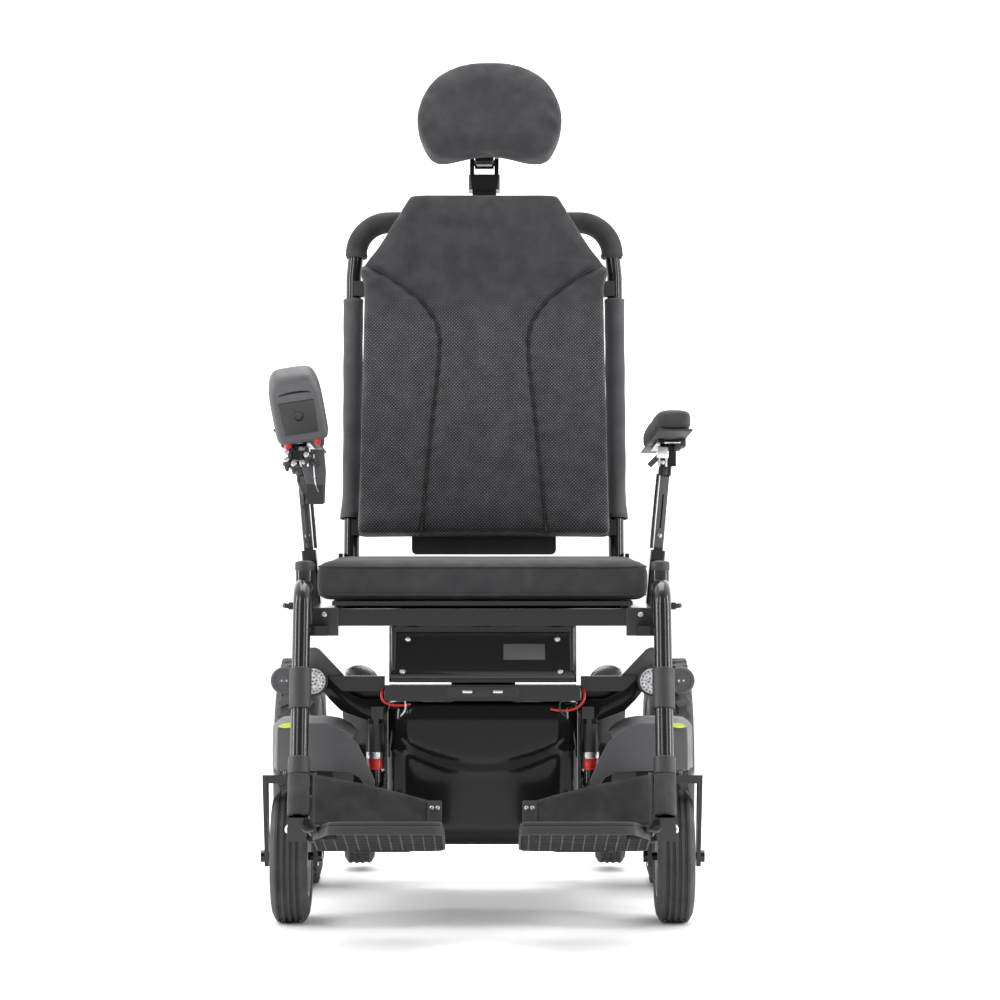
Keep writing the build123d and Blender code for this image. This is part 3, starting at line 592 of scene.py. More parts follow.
def girdle(obj, height, bins=64):
    """The outermost points of a form at one height, in order round it, for a welt to lie on."""
    centre = sum((v.co for v in obj.data.vertices), Vector()) / len(obj.data.vertices)
    widest = {}
    for vertex in obj.data.vertices:
        if abs(vertex.co.z - height) > 0.004:
            continue
        offset = (vertex.co - centre).xy
        key = int((math.atan2(offset.y, offset.x) + math.pi) / (2 * math.pi) * bins) % bins
        if key not in widest or offset.length > widest[key].length:
            widest[key] = offset
    return [(centre.x + widest[key].x, centre.y + widest[key].y, height) for key in sorted(widest)]


CUSHION_RADIUS = 0.010


def make_cushion():
    """The seat cushion as bevelled foam, swollen as cloth, with a welt round each broad face."""
    low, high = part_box("seat_cushion")
    size = high - low - Vector((0.004, 0.004, 0.005))
    form = bmesh.new()
    bmesh.ops.create_cube(form, size=1.0, matrix=Matrix.Translation((low + high) / 2)
        @ Matrix.Diagonal((*size, 1)))
    bmesh.ops.bevel(form, geom=form.edges[:], offset=CUSHION_RADIUS, segments=5, profile=0.5,
        affect="EDGES")
    pad = from_bmesh("seat_cushion_cover", form, "cover_fabric")
    inflate(pad, 0.006, 4.0, 0.004)
    for vertex in pad.data.vertices:
        vertex.co.z = max(vertex.co.z, low.z + 0.0005)
    subdivided(pad)
    place(pad, "seat", "fabric", ("seat_cushion",))
    for tag, z in (("upper", high.z - 0.008), ("lower", low.z + 0.008)):
        place(pipe(f"cushion_welt_{tag}", girdle(pad, z), 0.0013, "cover_fabric", closed=True), "seat",
            "fabric")


# Relief of the back pad round its seam: the groove, the swelling inside it and the gathers.
GROOVE_DEPTH, GROOVE_WIDTH = 0.0080, 0.0055
PUFF_HEIGHT, PUFF_REACH = 0.0035, 0.03
WRINKLE_DEPTH, WRINKLE_REACH = 0.0011, 0.014


def make_back_pad():
    """The pad and its cover in one: a shield form, swollen as cloth, with a seam pressed in its front."""
    mesh = bmesh.new()
    rows, columns = 46, 34
    height = PAD_HALF[-1][0]
    layers = []
    for face_out in (PAD_FRONT + 0.005, PAD_BACK - 0.003):
        layer = []
        for row in range(rows + 1):
            up = height * row / rows
            half = along(PAD_HALF, up) + 0.002 + 0.009 * math.exp(-((up - SHOULDER) / 0.014) ** 2)
            line = []
            for column in range(columns + 1):
                u = 2 * column / columns - 1
                line.append(mesh.verts.new(back_point(half * u, PAD_LOW - 0.006 + up * 1.006,
                    face_out)))
            layer.append(line)
        layers.append(layer)
    front, rear = layers
    for row in range(rows):
        for column in range(columns):
            for sheet in (front, rear):
                mesh.faces.new((sheet[row][column], sheet[row][column + 1], sheet[row + 1][column + 1],
                    sheet[row + 1][column]))
        for column in (0, columns):
            mesh.faces.new((front[row][column], front[row + 1][column], rear[row + 1][column],
                rear[row][column]))
    for column in range(columns):
        for row in (0, rows):
            mesh.faces.new((front[row][column], front[row][column + 1], rear[row][column + 1],
                rear[row][column]))
    pad = from_bmesh("back_pad_cover", mesh, "mesh")
    inflate(pad, 0.0065, 4.0, 0.006)
    subdivided(pad)
    pad.data.materials.append(MATERIALS["fabric"])
    for vertex in pad.data.vertices:
        local = vertex.co - RECLINE
        up = local.dot(BACK_UP) - PAD_LOW
        out = local.dot(BACK_OUT)
        if out > (PAD_FRONT + PAD_BACK) / 2:
            continue
        x = abs(vertex.co.x)
        distance = seam_distance(x, up)
        groove = GROOVE_DEPTH * math.exp(-(distance / GROOVE_WIDTH) ** 2)
        edge = min(1.0, max(0.0, (along(PAD_HALF, up) - x) / 0.03))
        inside = up >= SHOULDER or x < along(SEAM, up)
        puff = PUFF_HEIGHT * (1 - math.exp(-(distance / PUFF_REACH) ** 2)) if inside else 0.0
        wrinkle = WRINKLE_DEPTH * math.sin(up * 260 + x
            * 90) * math.exp(-(distance / WRINKLE_REACH) ** 2)
        vertex.co += BACK_OUT * (groove + wrinkle - puff * edge)
    for polygon in pad.data.polygons:
        local = polygon.center - RECLINE
        polygon.material_index = 1 if local.dot(BACK_OUT) > PAD_BACK - 0.014 else 0
    place(pad, "backrest", "mesh", ("back_pad",))
    for tag, side in SIDES:
        points = []
        for up, x in SEAM[:-1] + ((SHOULDER - 0.006, 0.176),):
            points.append(back_point(side * x, PAD_LOW + up + 0.002, PAD_FRONT + 0.0050))
        place(pipe(f"back_seam_{tag}", points, 0.0011, "cover_fabric"), "backrest", "fabric")


def seam_distance(x, up):
    """Distance in the pad's plane to the nearest seam line."""
    best = 1.0
    point = Vector((x, up))
    for (u1, x1), (u2, x2) in zip(SEAM, SEAM[1:]):
        a, b = Vector((x1, u1)), Vector((x2, u2))
        t = max(0.0, min(1.0, (point - a).dot(b - a) / (b - a).length_squared))
        best = min(best, (a + (b - a) * t - point).length)
    return best


HEAD_OFFSET, HEAD_LOW, HEAD_HEIGHT, HEAD_BEHIND, HEAD_THICK = 0.0085, 0.6435, 0.167, -0.002, 0.078
HEAD_FLANK = ((0.050, 0.160), (0.095, 0.130), (0.1195, 0.072), (0.106, 0.018), (0.080, 0.002))


def smooth_loop(corners, steps):
    """A closed Catmull-Rom curve through given points."""
    count = len(corners)
    loop = []
    for index in range(count):
        a, b, c, d = (Vector(corners[(index + shift) % count]) for shift in (-1, 0, 1, 2))
        for step in range(steps):
            t = step / steps
            loop.append(0.5 * (2 * b + (c - a) * t + (2 * a - 5 * b + 4 * c - d) * t ** 2
                + (3 * b - a - 3 * c + d) * t ** 3))
    return loop


def make_headrest():
    """A wide pad with two lobes at its foot, its front hollowed for the head."""
    middle = HEAD_LOW + HEAD_HEIGHT / 2
    corners = [(0, HEAD_HEIGHT)] + list(HEAD_FLANK) + [(0, 0.009)] + [(-x, up) for x,
        up in reversed(HEAD_FLANK)]
    outline = [point - Vector((0, HEAD_HEIGHT / 2)) for point in smooth_loop(corners, 8)]
    centre = back_point(HEAD_OFFSET, middle, HEAD_BEHIND)
    rings = 12
    mesh = bmesh.new()
    layers = []
    for level in range(rings + 1):
        t = level / rings
        scale = 0.76 + 0.205 * math.sqrt(max(0.0, 1 - (2 * t - 1) ** 6))
        layer = []
        for point in outline:
            px, py = point * scale
            curl = 0.014 * t * t * (px / 0.115) ** 2
            spot = centre - BACK_OUT * (0.003 + (HEAD_THICK - 0.006) * t + curl) + BACK_UP * py
            layer.append(mesh.verts.new(spot + Vector((px, 0, 0))))
        layers.append(layer)
    bridge(mesh, layers)
    mesh.faces.new(layers[0])
    mesh.faces.new(layers[-1])
    bmesh.ops.triangulate(mesh, faces=[face for face in mesh.faces if len(face.verts) > 4])
    pad = from_bmesh("headrest_cover", mesh, "fabric")
    inflate(pad, 0.0055, 4.0, 0.006)
    subdivided(pad)
    for vertex in pad.data.vertices:
        local = vertex.co - centre
        side = abs(local.x) / 0.118
        up = local.dot(BACK_UP)
        front = min(1.0, max(0.0, -local.dot(BACK_OUT) / HEAD_THICK))
        crease = math.exp(-((side - 0.86) / 0.09) ** 2)
        vertex.co += BACK_OUT * (0.0016 * crease * front * math.sin(up * 210 + local.x * 160))
        vertex.co += BACK_OUT * (0.010 * front * math.exp(-(side / 0.45) ** 2)
            * math.exp(-(up / 0.06) ** 2))
    place(pad, "headrest", "fabric", ("headrest_pad",))
    knuckle = back_point(0, 0.664, 0.022)
    place(turned("headrest_knuckle", axes(knuckle - Vector((0.0152, 0, 0)), (0, 1, 0), (1, 0, 0)),
        [(0.0095, 0), (0.0100, 0.002), (0.0100, 0.0284), (0.0095, 0.0304)], "black_metal"), "headrest")
    place(block("headrest_neck", axes(knuckle + BACK_UP * 0.008 - BACK_OUT * 0.014, (1, 0, 0), BACK_UP),
        (0.029, 0.030, 0.032), "black_metal", 0.003), "headrest")


ARM_PAD_SEAT, ARM_PITCH, ARM_TOE = 0.698, math.radians(6.0), math.radians(2.7)


def arm_pad_axes(side, across=0.0, along_pad=0.0, height=0.0):
    """The arm pad's own axes: Y to the rear along its underside, Z out through its top."""
    up = Vector((0, math.sin(ARM_PITCH), math.cos(ARM_PITCH)))
    x_dir = Vector((math.cos(ARM_TOE), side * math.sin(ARM_TOE), 0))
    x_dir = (x_dir - up * x_dir.dot(up)).normalized()
    spot = Vector((side * 0.2765, 0,
        ARM_PAD_SEAT)) + x_dir * across + up.cross(x_dir) * along_pad + up * height
    return axes(spot, x_dir, up)


def make_arm_pads():
    """Arm pads swollen as cloth, each on its board."""
    for name, side in SIDES:
        half = Vector((0.0272, 0.1472, 0.0158))
        pad = box_form(f"arm_pad_cover_{name}", arm_pad_axes(side, height=0.0188), half, "cover_fabric",
            0.002, power=5.0)
        inflate(pad, 0.005, 3.0, 0.003)
        subdivided(pad)
        place(pad, f"armrest_{name}", "fabric", (f"armrest_pad_{name}",))
        place(block(f"arm_board_{name}", arm_pad_axes(side, height=0.0022), (0.052, 0.278, 0.0036),
            "black_plastic", 0.0015), f"armrest_{name}")


CANE_X = 0.206
SLEEVE_LOW, SLEEVE_HIGH, SLEEVE_RADIUS = 0.084, 0.434, 0.0155


def make_sleeves():
    """The knit sleeves round the back canes, flared at their hems."""
    steps, sectors = 40, 28
    for name, side in SIDES:
        mesh = bmesh.new()
        rings = []
        for step in range(steps + 1):
            t = step / steps
            flare = 0.0035 * math.exp(-(t / 0.05) ** 2) + 0.0010 * math.exp(-((1 - t) / 0.03) ** 2)
            ripple = 0.0003 * math.sin(t * 30)
            centre = back_point(side * CANE_X, SLEEVE_LOW + (SLEEVE_HIGH - SLEEVE_LOW) * t, 0)
            ring = []
            for angle in angles(sectors):
                radius = SLEEVE_RADIUS + flare + ripple + 0.0004 * math.sin(3 * angle + t * 5)
                offset = Vector((radius * math.cos(angle), 0, 0)) + BACK_OUT * radius * math.sin(angle)
                ring.append(mesh.verts.new(centre + offset))
            rings.append(ring)
        bridge(mesh, rings)
        sleeve = from_bmesh(f"back_sleeve_cover_{name}", mesh, "light_fabric")
        thicken(sleeve, 0.0015)
        place(sleeve, "backrest", "fabric")
        if side > 0:
            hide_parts("back_sleeves")


make_cushion()
make_back_pad()
make_headrest()
make_arm_pads()
make_sleeves()
# --- wheels and casters ---------------------------------------------------------------
def middle_of(node):
    low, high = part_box(node)
    return (low + high) / 2


def wheel_frame(centre, side):
    """Z points outward along the axle."""
    return axes(centre, (0, 1, 0), (side, 0, 0))


def ribbed_profile(outer, inner, half, grooves, depth, shoulder):
    """A tyre section: grooves run round the tread, then the shoulders and the sidewalls."""
    points = [(inner, -half * 0.8), (inner + 0.004, -half * 0.95), ((outer + inner) / 2, -half),
        (outer - shoulder, -half * 0.96), (outer - shoulder * 0.35, -half * 0.82)]
    tread = half * 0.72
    step = 2 * tread / (2 * grooves + 1)
    for index in range(2 * grooves + 1):
        start = -tread + index * step
        radius = outer - (depth if index % 2 else 0.0) - 0.0015 * (start / half) ** 2
        points.append((radius, start + step * 0.12))
        points.append((radius, start + step * 0.88))
    points += [(r, -h) for r, h in reversed(points[:5])]
    return points


# Outer and inner radius, half width, grooves, groove depth and shoulder of each tyre.
CASTER_TYRE = (0.0949, 0.058, 0.0272, 4, 0.0022, 0.012)
DRIVE_TYRE = (0.1772, 0.118, 0.0345, 1, 0.003, 0.018)
ANTI_TIP_TYRE = (0.0598, 0.040, 0.0245, 3, 0.0015, 0.009)
LUG_COUNT, LUG_RADIUS, LUG_OFFSET, LUG_LEAN = 44, 0.1745, 0.0165, 28
LUG_SIZE = (0.009, 0.013, 0.023)
SPOKE_COUNT = 5


def make_casters():
    """Ribbed front tyres, five-spoke rims and the nuts on their axles."""
    for name, side in SIDES:
        centre = middle_of(f"caster_tyre_{name}")
        at = wheel_frame(centre, side)
        place(ring_of(f"caster_tread_{name}", at, ribbed_profile(*CASTER_TYRE), "tyre", 120),
            f"caster_wheel_{name}", "tyre", (f"caster_tyre_{name}",))
        barrel = ring_of(f"caster_barrel_{name}", at, [(0.0585, -0.025), (0.0585, 0.025),
            (0.0535, 0.025), (0.050, 0.018), (0.049, -0.018), (0.0535, -0.025)], "light_rim", 96)
        hub = turned(f"caster_hub_{name}", at, [(0.0062, -0.024), (0.016, -0.024), (0.019, -0.018),
            (0.019, 0.018), (0.016, 0.024), (0.0062, 0.024)], "light_rim")
        spokes = []
        for index in range(SPOKE_COUNT):
            turn = spun(at, index / SPOKE_COUNT)
            spokes.append(block(f"spoke_{index}", turn @ Matrix.Translation((0.0345, 0, 0)),
                (0.036, 0.016, 0.022), "light_rim", 0.004))
        place(join(f"caster_rim_cast_{name}", [barrel, hub] + spokes), f"caster_wheel_{name}",
            "grey_plastic", (f"caster_rim_{name}",))
        for tag, out in (("outer", 1.0), ("inner", -1.0)):
            spot = centre + Vector((side * out * 0.0388, 0, 0))
            place(bolt(f"caster_nut_{tag}_{name}", spot, (side * out, 0, 0), 0.0078),
                f"caster_fork_{name}")


def make_drive_wheels():
    """Tyres with slanted lugs, double-spoke rims, wheel bolts and fixed hub caps."""
    for name, side in SIDES:
        centre = middle_of(f"drive_tyre_{name}")
        at = wheel_frame(centre, side)
        tyre = ring_of(f"drive_tread_{name}", at, ribbed_profile(*DRIVE_TYRE), "tyre", 144)
        lugs = bmesh.new()
        for index in range(LUG_COUNT):
            turn = spun(at, index / LUG_COUNT)
            for half_side in (-1, 1):
                lean = Matrix.Rotation(math.radians(LUG_LEAN * half_side), 4, "X")
                seat = turn @ Matrix.Translation((LUG_RADIUS, 0, half_side * LUG_OFFSET)) @ lean
                bmesh.ops.create_cube(lugs, size=1.0, matrix=seat @ Matrix.Diagonal((*LUG_SIZE, 1)))
        tread = from_bmesh("lugs", lugs, "tyre", 0.0012, 1)
        place(join(f"drive_tread_{name}", [tyre, tread]), f"drive_wheel_{name}", "tyre",
            (f"drive_tyre_{name}",))
        barrel = ring_of(f"drive_barrel_{name}", at, [(0.1182, -0.030), (0.1182, 0.030), (0.112, 0.030),
            (0.106, 0.022), (0.104, -0.022), (0.112, -0.030)], "grey_plastic", 120)
        hub = turned(f"drive_hub_{name}", at, [(0.0142, -0.027), (0.034, -0.027), (0.038, -0.02),
            (0.038, 0.016), (0.030, 0.026), (0.0142, 0.026)], "grey_plastic")
        spokes = []
        for index in range(SPOKE_COUNT):
            turn = spun(at, index / SPOKE_COUNT)
            for spread in (-1, 1):
                arm = turn @ Matrix.Rotation(math.radians(7 * spread), 4, "Z")
                spokes.append(block(f"spoke_{index}_{spread}", arm
                    @ Matrix.Translation((0.072, 0, 0.004)), (0.072, 0.013, 0.026), "grey_plastic",
                    0.004))
        place(join(f"drive_rim_cast_{name}", [barrel, hub] + spokes), f"drive_wheel_{name}",
            "grey_plastic", (f"drive_rim_{name}",))
        for index in range(SPOKE_COUNT):
            turn = spun(at, (index + 0.5) / SPOKE_COUNT)
            spot = turn @ Vector((0.024, 0, 0.026))
            place(bolt(f"drive_bolt_{name}_{index}", spot, (side, 0, 0), 0.0042), f"drive_wheel_{name}")
        place(turned(f"hub_cap_{name}", at, [(0.0135, 0.024), (0.0135, 0.031), (0.011, 0.034),
            (0, 0.0348)], "black_plastic"), "chassis")


def make_anti_tips():
    """The small rear wheels with dished hubs."""
    for name, side in SIDES:
        centre = middle_of(f"anti_tip_wheel_{name}")
        at = wheel_frame(centre, side)
        tyre = ring_of(f"anti_tip_tread_{name}", at, ribbed_profile(*ANTI_TIP_TYRE), "tyre", 96)
        hub = ring_of("anti_tip_hub", at, [(0.0402, -0.020), (0.0402, 0.020), (0.034, 0.018),
            (0.020, 0.010), (0.018, 0.020), (0.0064, 0.020), (0.0064, -0.020), (0.018, -0.020),
            (0.020, -0.010), (0.034, -0.018)], "light_rim", 72)
        place(join(f"anti_tip_tread_{name}", [tyre, hub]), f"anti_tip_wheel_{name}", "tyre",
            (f"anti_tip_wheel_{name}",))
        place(bolt(f"anti_tip_nut_{name}", centre + Vector((side * 0.0255, 0, 0)), (side, 0, 0),
            0.0075), "chassis")


FENDER_FACE = ((0.150, 0.205), (0.150, 0.214), (0.161, 0.2395), (0.1745, 0.2665), (0.183, 0.2755),
    (0.192, 0.2842), (0.208, 0.2930), (0.225, 0.2962), (0.268, 0.2962), (0.283, 0.2945),
    (0.2902, 0.2895), (0.2913, 0.262), (0.2913, 0.230), (0.241, 0.228), (0.188, 0.227), (0.172, 0.218),
    (0.163, 0.205))
HOOD_FROM, HOOD_TO, HOOD_OUTER = 4, 13, 8
SKIRT_SPREAD = 0.009


def make_fenders():
    """A moulded hood over each caster: a face with an inner leg and a skirt flaring past the swivel."""
    middle = Vector((0.232, 0.256))
    depths = ((-0.3344, 0.968, 0.0), (-0.3332, 0.986, 0.0), (-0.3300, 0.996, 0.02), (-0.3240, 1.0, 0.1),
        (-0.3000, 1.0, 0.55), (-0.2780, 1.0, 1.0), (-0.2300, 1.0, 1.0), (-0.1690, 1.0, 1.0))
    for name, side in SIDES:
        mesh = bmesh.new()
        rows = []
        for y, scale, flare in depths:
            row = []
            for index in range(HOOD_FROM, HOOD_TO):
                x, z = FENDER_FACE[index]
                spread = SKIRT_SPREAD * flare if index >= HOOD_OUTER else 0.0
                px = middle.x + (x - middle.x) * scale + spread
                pz = middle.y + (z - middle.y) * (scale if z > middle.y else 1.0)
                row.append(mesh.verts.new((side * px, y, pz)))
            rows.append(row)
        bridge(mesh, rows, closed=False)
        hood = from_bmesh("hood", mesh, "grey_plastic")
        thicken(hood, 0.0026)
        shade_smooth(hood).data.set_sharp_from_angle(angle=math.radians(50))
        face_line = [(side * (middle.x + (x - middle.x) * 0.978), middle.y + (z - middle.y) * 0.978)
            for x, z in FENDER_FACE]
        front = plate("face", facing_front(-0.3318), face_line, 0.0030, "grey_plastic", 0.0012)
        place(join(f"fender_shell_{name}", [hood, front]), "chassis", "grey_plastic",
            (f"fender_{name}",))
        leaf = [(side * (0.2775 + 0.0098 * math.cos(a)), 0.2924 + 0.0032 * math.sin(a)
            * (1 - 0.25 * math.cos(a)) - 0.0010 * math.cos(a)) for a in angles(24)]
        accent = plate(f"fender_leaf_{name}", facing_front(-0.3340), leaf, 0.0032, "accent", 0.001)
        place(accent, "chassis")
        if side > 0:
            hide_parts("fender_accents")


def make_shocks():
    """The shock absorbers: can, ring and red collar on the chassis, coil and bolt on the arm."""
    for name, side in SIDES:
        x, y = side * 0.156, -0.222
        at = axes((x, y, 0.0))
        body = turned(f"shock_can_{name}", at, [(0.0092, 0.246), (0.0098, 0.248), (0.0098, 0.286),
            (0.0092, 0.290)], "black_plastic")
        ring = turned(f"shock_ring_{name}", at, [(0.0105, 0.238), (0.0112, 0.240), (0.0112, 0.245),
            (0.0105, 0.247)], "steel")
        collar = turned(f"shock_collar_{name}", at, [(0.0100, 0.222), (0.0106, 0.224), (0.0106, 0.237),
            (0.0100, 0.239)], "red")
        place(body, "chassis", "black_metal")
        place(ring, "chassis")
        place(collar, "chassis")
        coil = []
        turns, steps = 3.5, 70
        for step in range(steps + 1):
            t = step / steps
            angle = 2 * math.pi * turns * t
            coil.append((x + 0.0068 * math.cos(angle), y + 0.0068 * math.sin(angle),
                0.193 + 0.0275 * t))
        place(pipe(f"shock_spring_{name}", coil, 0.0013, "black_metal"), f"caster_arm_{name}")
        place(bolt(f"shock_bolt_{name}", (side * 0.157, -0.2405, 0.181), (0, -1, 0), 0.0062),
            f"caster_arm_{name}")


MATERIALS["light_rim"] = moulded("light_rim", (0.30, 0.30, 0.31), 0.45)
make_casters()
make_drive_wheels()
make_anti_tips()
make_fenders()
make_shocks()
# --- base and front -------------------------------------------------------------------
def make_body():
    """The moulded centre shroud: bulged front with the smile-shaped crease and lower lip."""
    low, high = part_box("front_shroud")
    columns, rows = 44, 40
    mesh = bmesh.new()
    half = high.x
    grid = []
    for row in range(rows + 1):
        z = low.z + (high.z - low.z) * row / rows
        line = []
        for column in range(columns + 1):
            u = 2 * column / columns - 1
            x = u * half
            corner = max(0.0, (abs(x) - (half - 0.046)) / 0.046)
            y = low.y + 0.046 * (1 - math.sqrt(max(0.0, 1 - corner * corner)))
            crease_z = 0.259 - 0.034 * (1 - (x / 0.118) ** 2) if abs(x) < 0.118 else 0.259
            above = z - crease_z
            y += 0.007 / (1 + math.exp(above / 0.0025)) if abs(x) < 0.125 else 0.003
            y += 0.010 * max(0.0, (z - 0.296) / 0.023) ** 2
            y += 0.012 * max(0.0, (0.140 - z) / 0.027) ** 2
            line.append(mesh.verts.new((x, y + 0.0006, z)))
        grid.append(line)
    bridge(mesh, grid, closed=False)
    face = from_bmesh("shroud_face", mesh, "shroud")
    thicken(face, 0.003)
    shade_smooth(face)
    side_parts = [face]
    for side in (1, -1):
        side_parts.append(block("cheek", axes((side * (half - 0.002), (low.y + 0.046 + 0.1) / 2,
            (low.z + high.z) / 2)), (0.003, 0.1 - low.y - 0.046, high.z - low.z - 0.002), "shroud",
            0.001))
    lid_front = low.y + 0.014
    for x, y, sx, sy in ((0, (lid_front - 0.064) / 2, 0.270, -0.064 - lid_front),
            (0, 0.082, 0.270, 0.036), (0.100, 0.0, 0.070, 0.128), (-0.100, 0.0, 0.070, 0.128)):
        side_parts.append(block("lid", axes((x, y, high.z - 0.002)), (sx, sy, 0.003), "shroud", 0.0008))
    place(join("shroud_shell", side_parts), "chassis", "shroud", ("front_shroud",))


def make_wings():
    """Glossy side wings from the shroud to the wheel arches, and the diagonal upper panels."""
    for name, side in SIDES:
        outline = [(0.142, 0.322), (0.176, 0.322), (0.206, 0.336), (0.228, 0.358), (0.244, 0.372),
            (0.252, 0.366), (0.240, 0.345), (0.222, 0.322), (0.206, 0.306), (0.190, 0.300),
            (0.168, 0.292), (0.152, 0.270), (0.146, 0.238), (0.142, 0.238)]
        place(plate(f"wing_{name}", facing_front(-0.206), [(side * x, z) for x, z in outline], 0.004,
            "shroud", 0.0015), "chassis")
        rise = [(0.197, 0.350), (0.203, 0.358), (0.237, 0.394), (0.243, 0.397), (0.258, 0.397),
            (0.262, 0.392), (0.262, 0.346), (0.230, 0.343)]
        place(plate(f"wing_brace_{name}", facing_front(-0.194), [(side * x, z) for x, z in rise], 0.004,
            "grey_plastic", 0.0015), "chassis")


def make_module():
    """The tilt module's front plate with a blank badge and bolts, and the latch on the rail below."""
    face_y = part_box("tilt_module")[0].y
    plate_at = facing_front(face_y + 0.0003)
    outline = [(-0.134, 0.352), (0.134, 0.352), (0.134, 0.362), (0.128, 0.366), (0.126, 0.420),
        (-0.126, 0.420), (-0.128, 0.366), (-0.134, 0.362)]
    place(plate("module_front", plate_at, outline, 0.003, "black_metal", 0.001), "lift_module")
    place(plate("module_plate", plate_at @ Matrix.Translation((0, 0, 0.003)),
        [(0.030, 0.380), (0.090, 0.380), (0.090, 0.403), (0.030, 0.403)], 0.0008, "grey_plastic",
        0.0003), "lift_module")
    for tag, x, z in (("a", -0.116, 0.363), ("b", 0.112, 0.363), ("c", -0.108, 0.410),
            ("d", 0.108, 0.410)):
        place(bolt(f"module_bolt_{tag}", (x, face_y - 0.0025, z), (0, -1, 0), 0.0042), "lift_module")
    latch_low = -0.241
    place(plate("rail_latch", facing_front(latch_low + 0.002),
        [(-0.052, 0.327), (0.052, 0.327), (0.054, 0.335), (0.050, 0.3425), (-0.050, 0.3425),
        (-0.054, 0.335)], 0.0022, "black_plastic", 0.001), "chassis", "black_metal")
    for tag, x in (("a", -0.022), ("b", 0.022)):
        place(block(f"latch_slot_{tag}", axes((x, latch_low - 0.0002, 0.335)), (0.014, 0.001, 0.004),
            "steel", 0.0004), "chassis")


def make_lamps():
    """Round lamps with rings of diodes, and the plain discs beside them."""
    low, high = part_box("lamp_housings")
    lamp_y, disc_y = low.y, low.y + 0.010
    z = (low.z + high.z) / 2
    for name, side in SIDES:
        x = side * 0.245
        at = axes((x, lamp_y, z), (1, 0, 0), (0, -1, 0))
        body = turned(f"lamp_body_{name}", at, [(0.013, -0.0255), (0.019, -0.018), (0.0215, -0.008),
            (0.022, -0.001), (0.0215, 0.0012), (0.0188, 0.0012), (0.0185, -0.002), (0, -0.002)],
            "black_plastic", 48)
        place(body, "chassis", "grey_plastic")
        lens = turned(f"lamp_lens_{name}", at, [(0.0183, -0.0012), (0.0183, 0.0008), (0.012, 0.0034),
            (0, 0.0044)], "lens", 48)
        place(lens, "chassis")
        if side > 0:
            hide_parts("headlamp_lenses")
            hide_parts("lamp_housings")
        diodes = []
        for ring, count, lift in ((0.0, 1, 0.0036), (0.0055, 6, 0.0032), (0.0105, 12, 0.0024),
                (0.0150, 18, 0.0014)):
            for angle in angles(count):
                angle += ring * 40
                spot = at @ Vector((ring * math.cos(angle), ring * math.sin(angle), lift))
                diodes.append(turned("diode", axes(spot, (1, 0, 0), (0, -1, 0)),
                    [(0.0014, 0), (0.0013, 0.0010), (0, 0.0013)], "black_plastic", 12))
        place(join(f"lamp_diodes_{name}", diodes), "chassis", "black_plastic")
        disc_at = axes((side * 0.287, disc_y + 0.001, z), (1, 0, 0), (0, -1, 0))
        place(turned(f"side_disc_{name}", disc_at, [(0.017, -0.014), (0.0198, -0.011), (0.0198, -0.001),
            (0.0185, 0.0008), (0.015, 0.001), (0.0142, 0.0002), (0.0075, 0.0002), (0.0072, 0.001),
            (0, 0.001)], "grey_plastic", 48), "chassis")
        for tag, dx in (("a", -0.0035), ("b", 0.0035)):
            place(turned(f"disc_dot_{name}_{tag}", axes((side * 0.287 + dx, disc_y, z), (1, 0, 0),
                (0, -1, 0)), [(0.0016, 0), (0.0014, 0.0009), (0, 0.001)], "lens", 16), "chassis")


def make_wires():
    """The short loops of wire at both ends of the rail."""
    routes = {"red_wire_left": [(0.141, -0.214, 0.341), (0.147, -0.236, 0.338), (0.147, -0.241, 0.322),
        (0.136, -0.243, 0.311), (0.116, -0.242, 0.306), (0.098, -0.238, 0.310)],
        "red_wire_right": [(-0.141, -0.214, 0.341), (-0.146, -0.236, 0.337), (-0.146, -0.241, 0.325),
        (-0.140, -0.243, 0.318), (-0.120, -0.242, 0.314), (-0.104, -0.238, 0.317)],}
    for name, points in routes.items():
        place(pipe(name, points, 0.0017, "red"), "chassis")
    for tag, side, material in (("black", 1, "black_plastic"), ("white", -1, "lens")):
        points = [(side * 0.112, -0.238, 0.321), (side * 0.110, -0.245, 0.314),
            (side * 0.113, -0.246, 0.305), (side * 0.118, -0.241, 0.300)]
        place(pipe(f"short_wire_{tag}", points, 0.0013, material), "chassis", "black_plastic")


def make_motor_caps():
    """Ribbed end caps on the motor barrels."""
    top = Vector((0.192, 0.084, 0.334))
    foot = Vector((0.192, 0.256, 0.206))
    for name, side in SIDES:
        here = Vector((side * top.x, top.y, top.z))
        direction = Vector((0, top.y - foot.y, top.z - foot.z))
        at = axes(here, (1, 0, 0), direction)
        profile = [(0.0289, -0.060)]
        for ring in range(7):
            base = -0.056 + ring * 0.008
            profile += [(0.0303, base), (0.0303, base + 0.004), (0.0289, base + 0.0048),
                (0.0289, base + 0.0072)]
        profile += [(0.027, 0.001), (0.020, 0.0014), (0, 0.0016)]
        place(turned(f"motor_cap_{name}", at, profile, "grey_plastic", 56), "chassis")
        place(turned(f"motor_crown_{name}", at, [(0.0262, 0.0008), (0.0264, 0.0022), (0.0240, 0.0034),
            (0.0150, 0.0048), (0.0, 0.0054)], "aluminium", 56), "chassis")


make_body()
make_wings()
make_module()
make_lamps()
make_wires()
make_motor_caps()
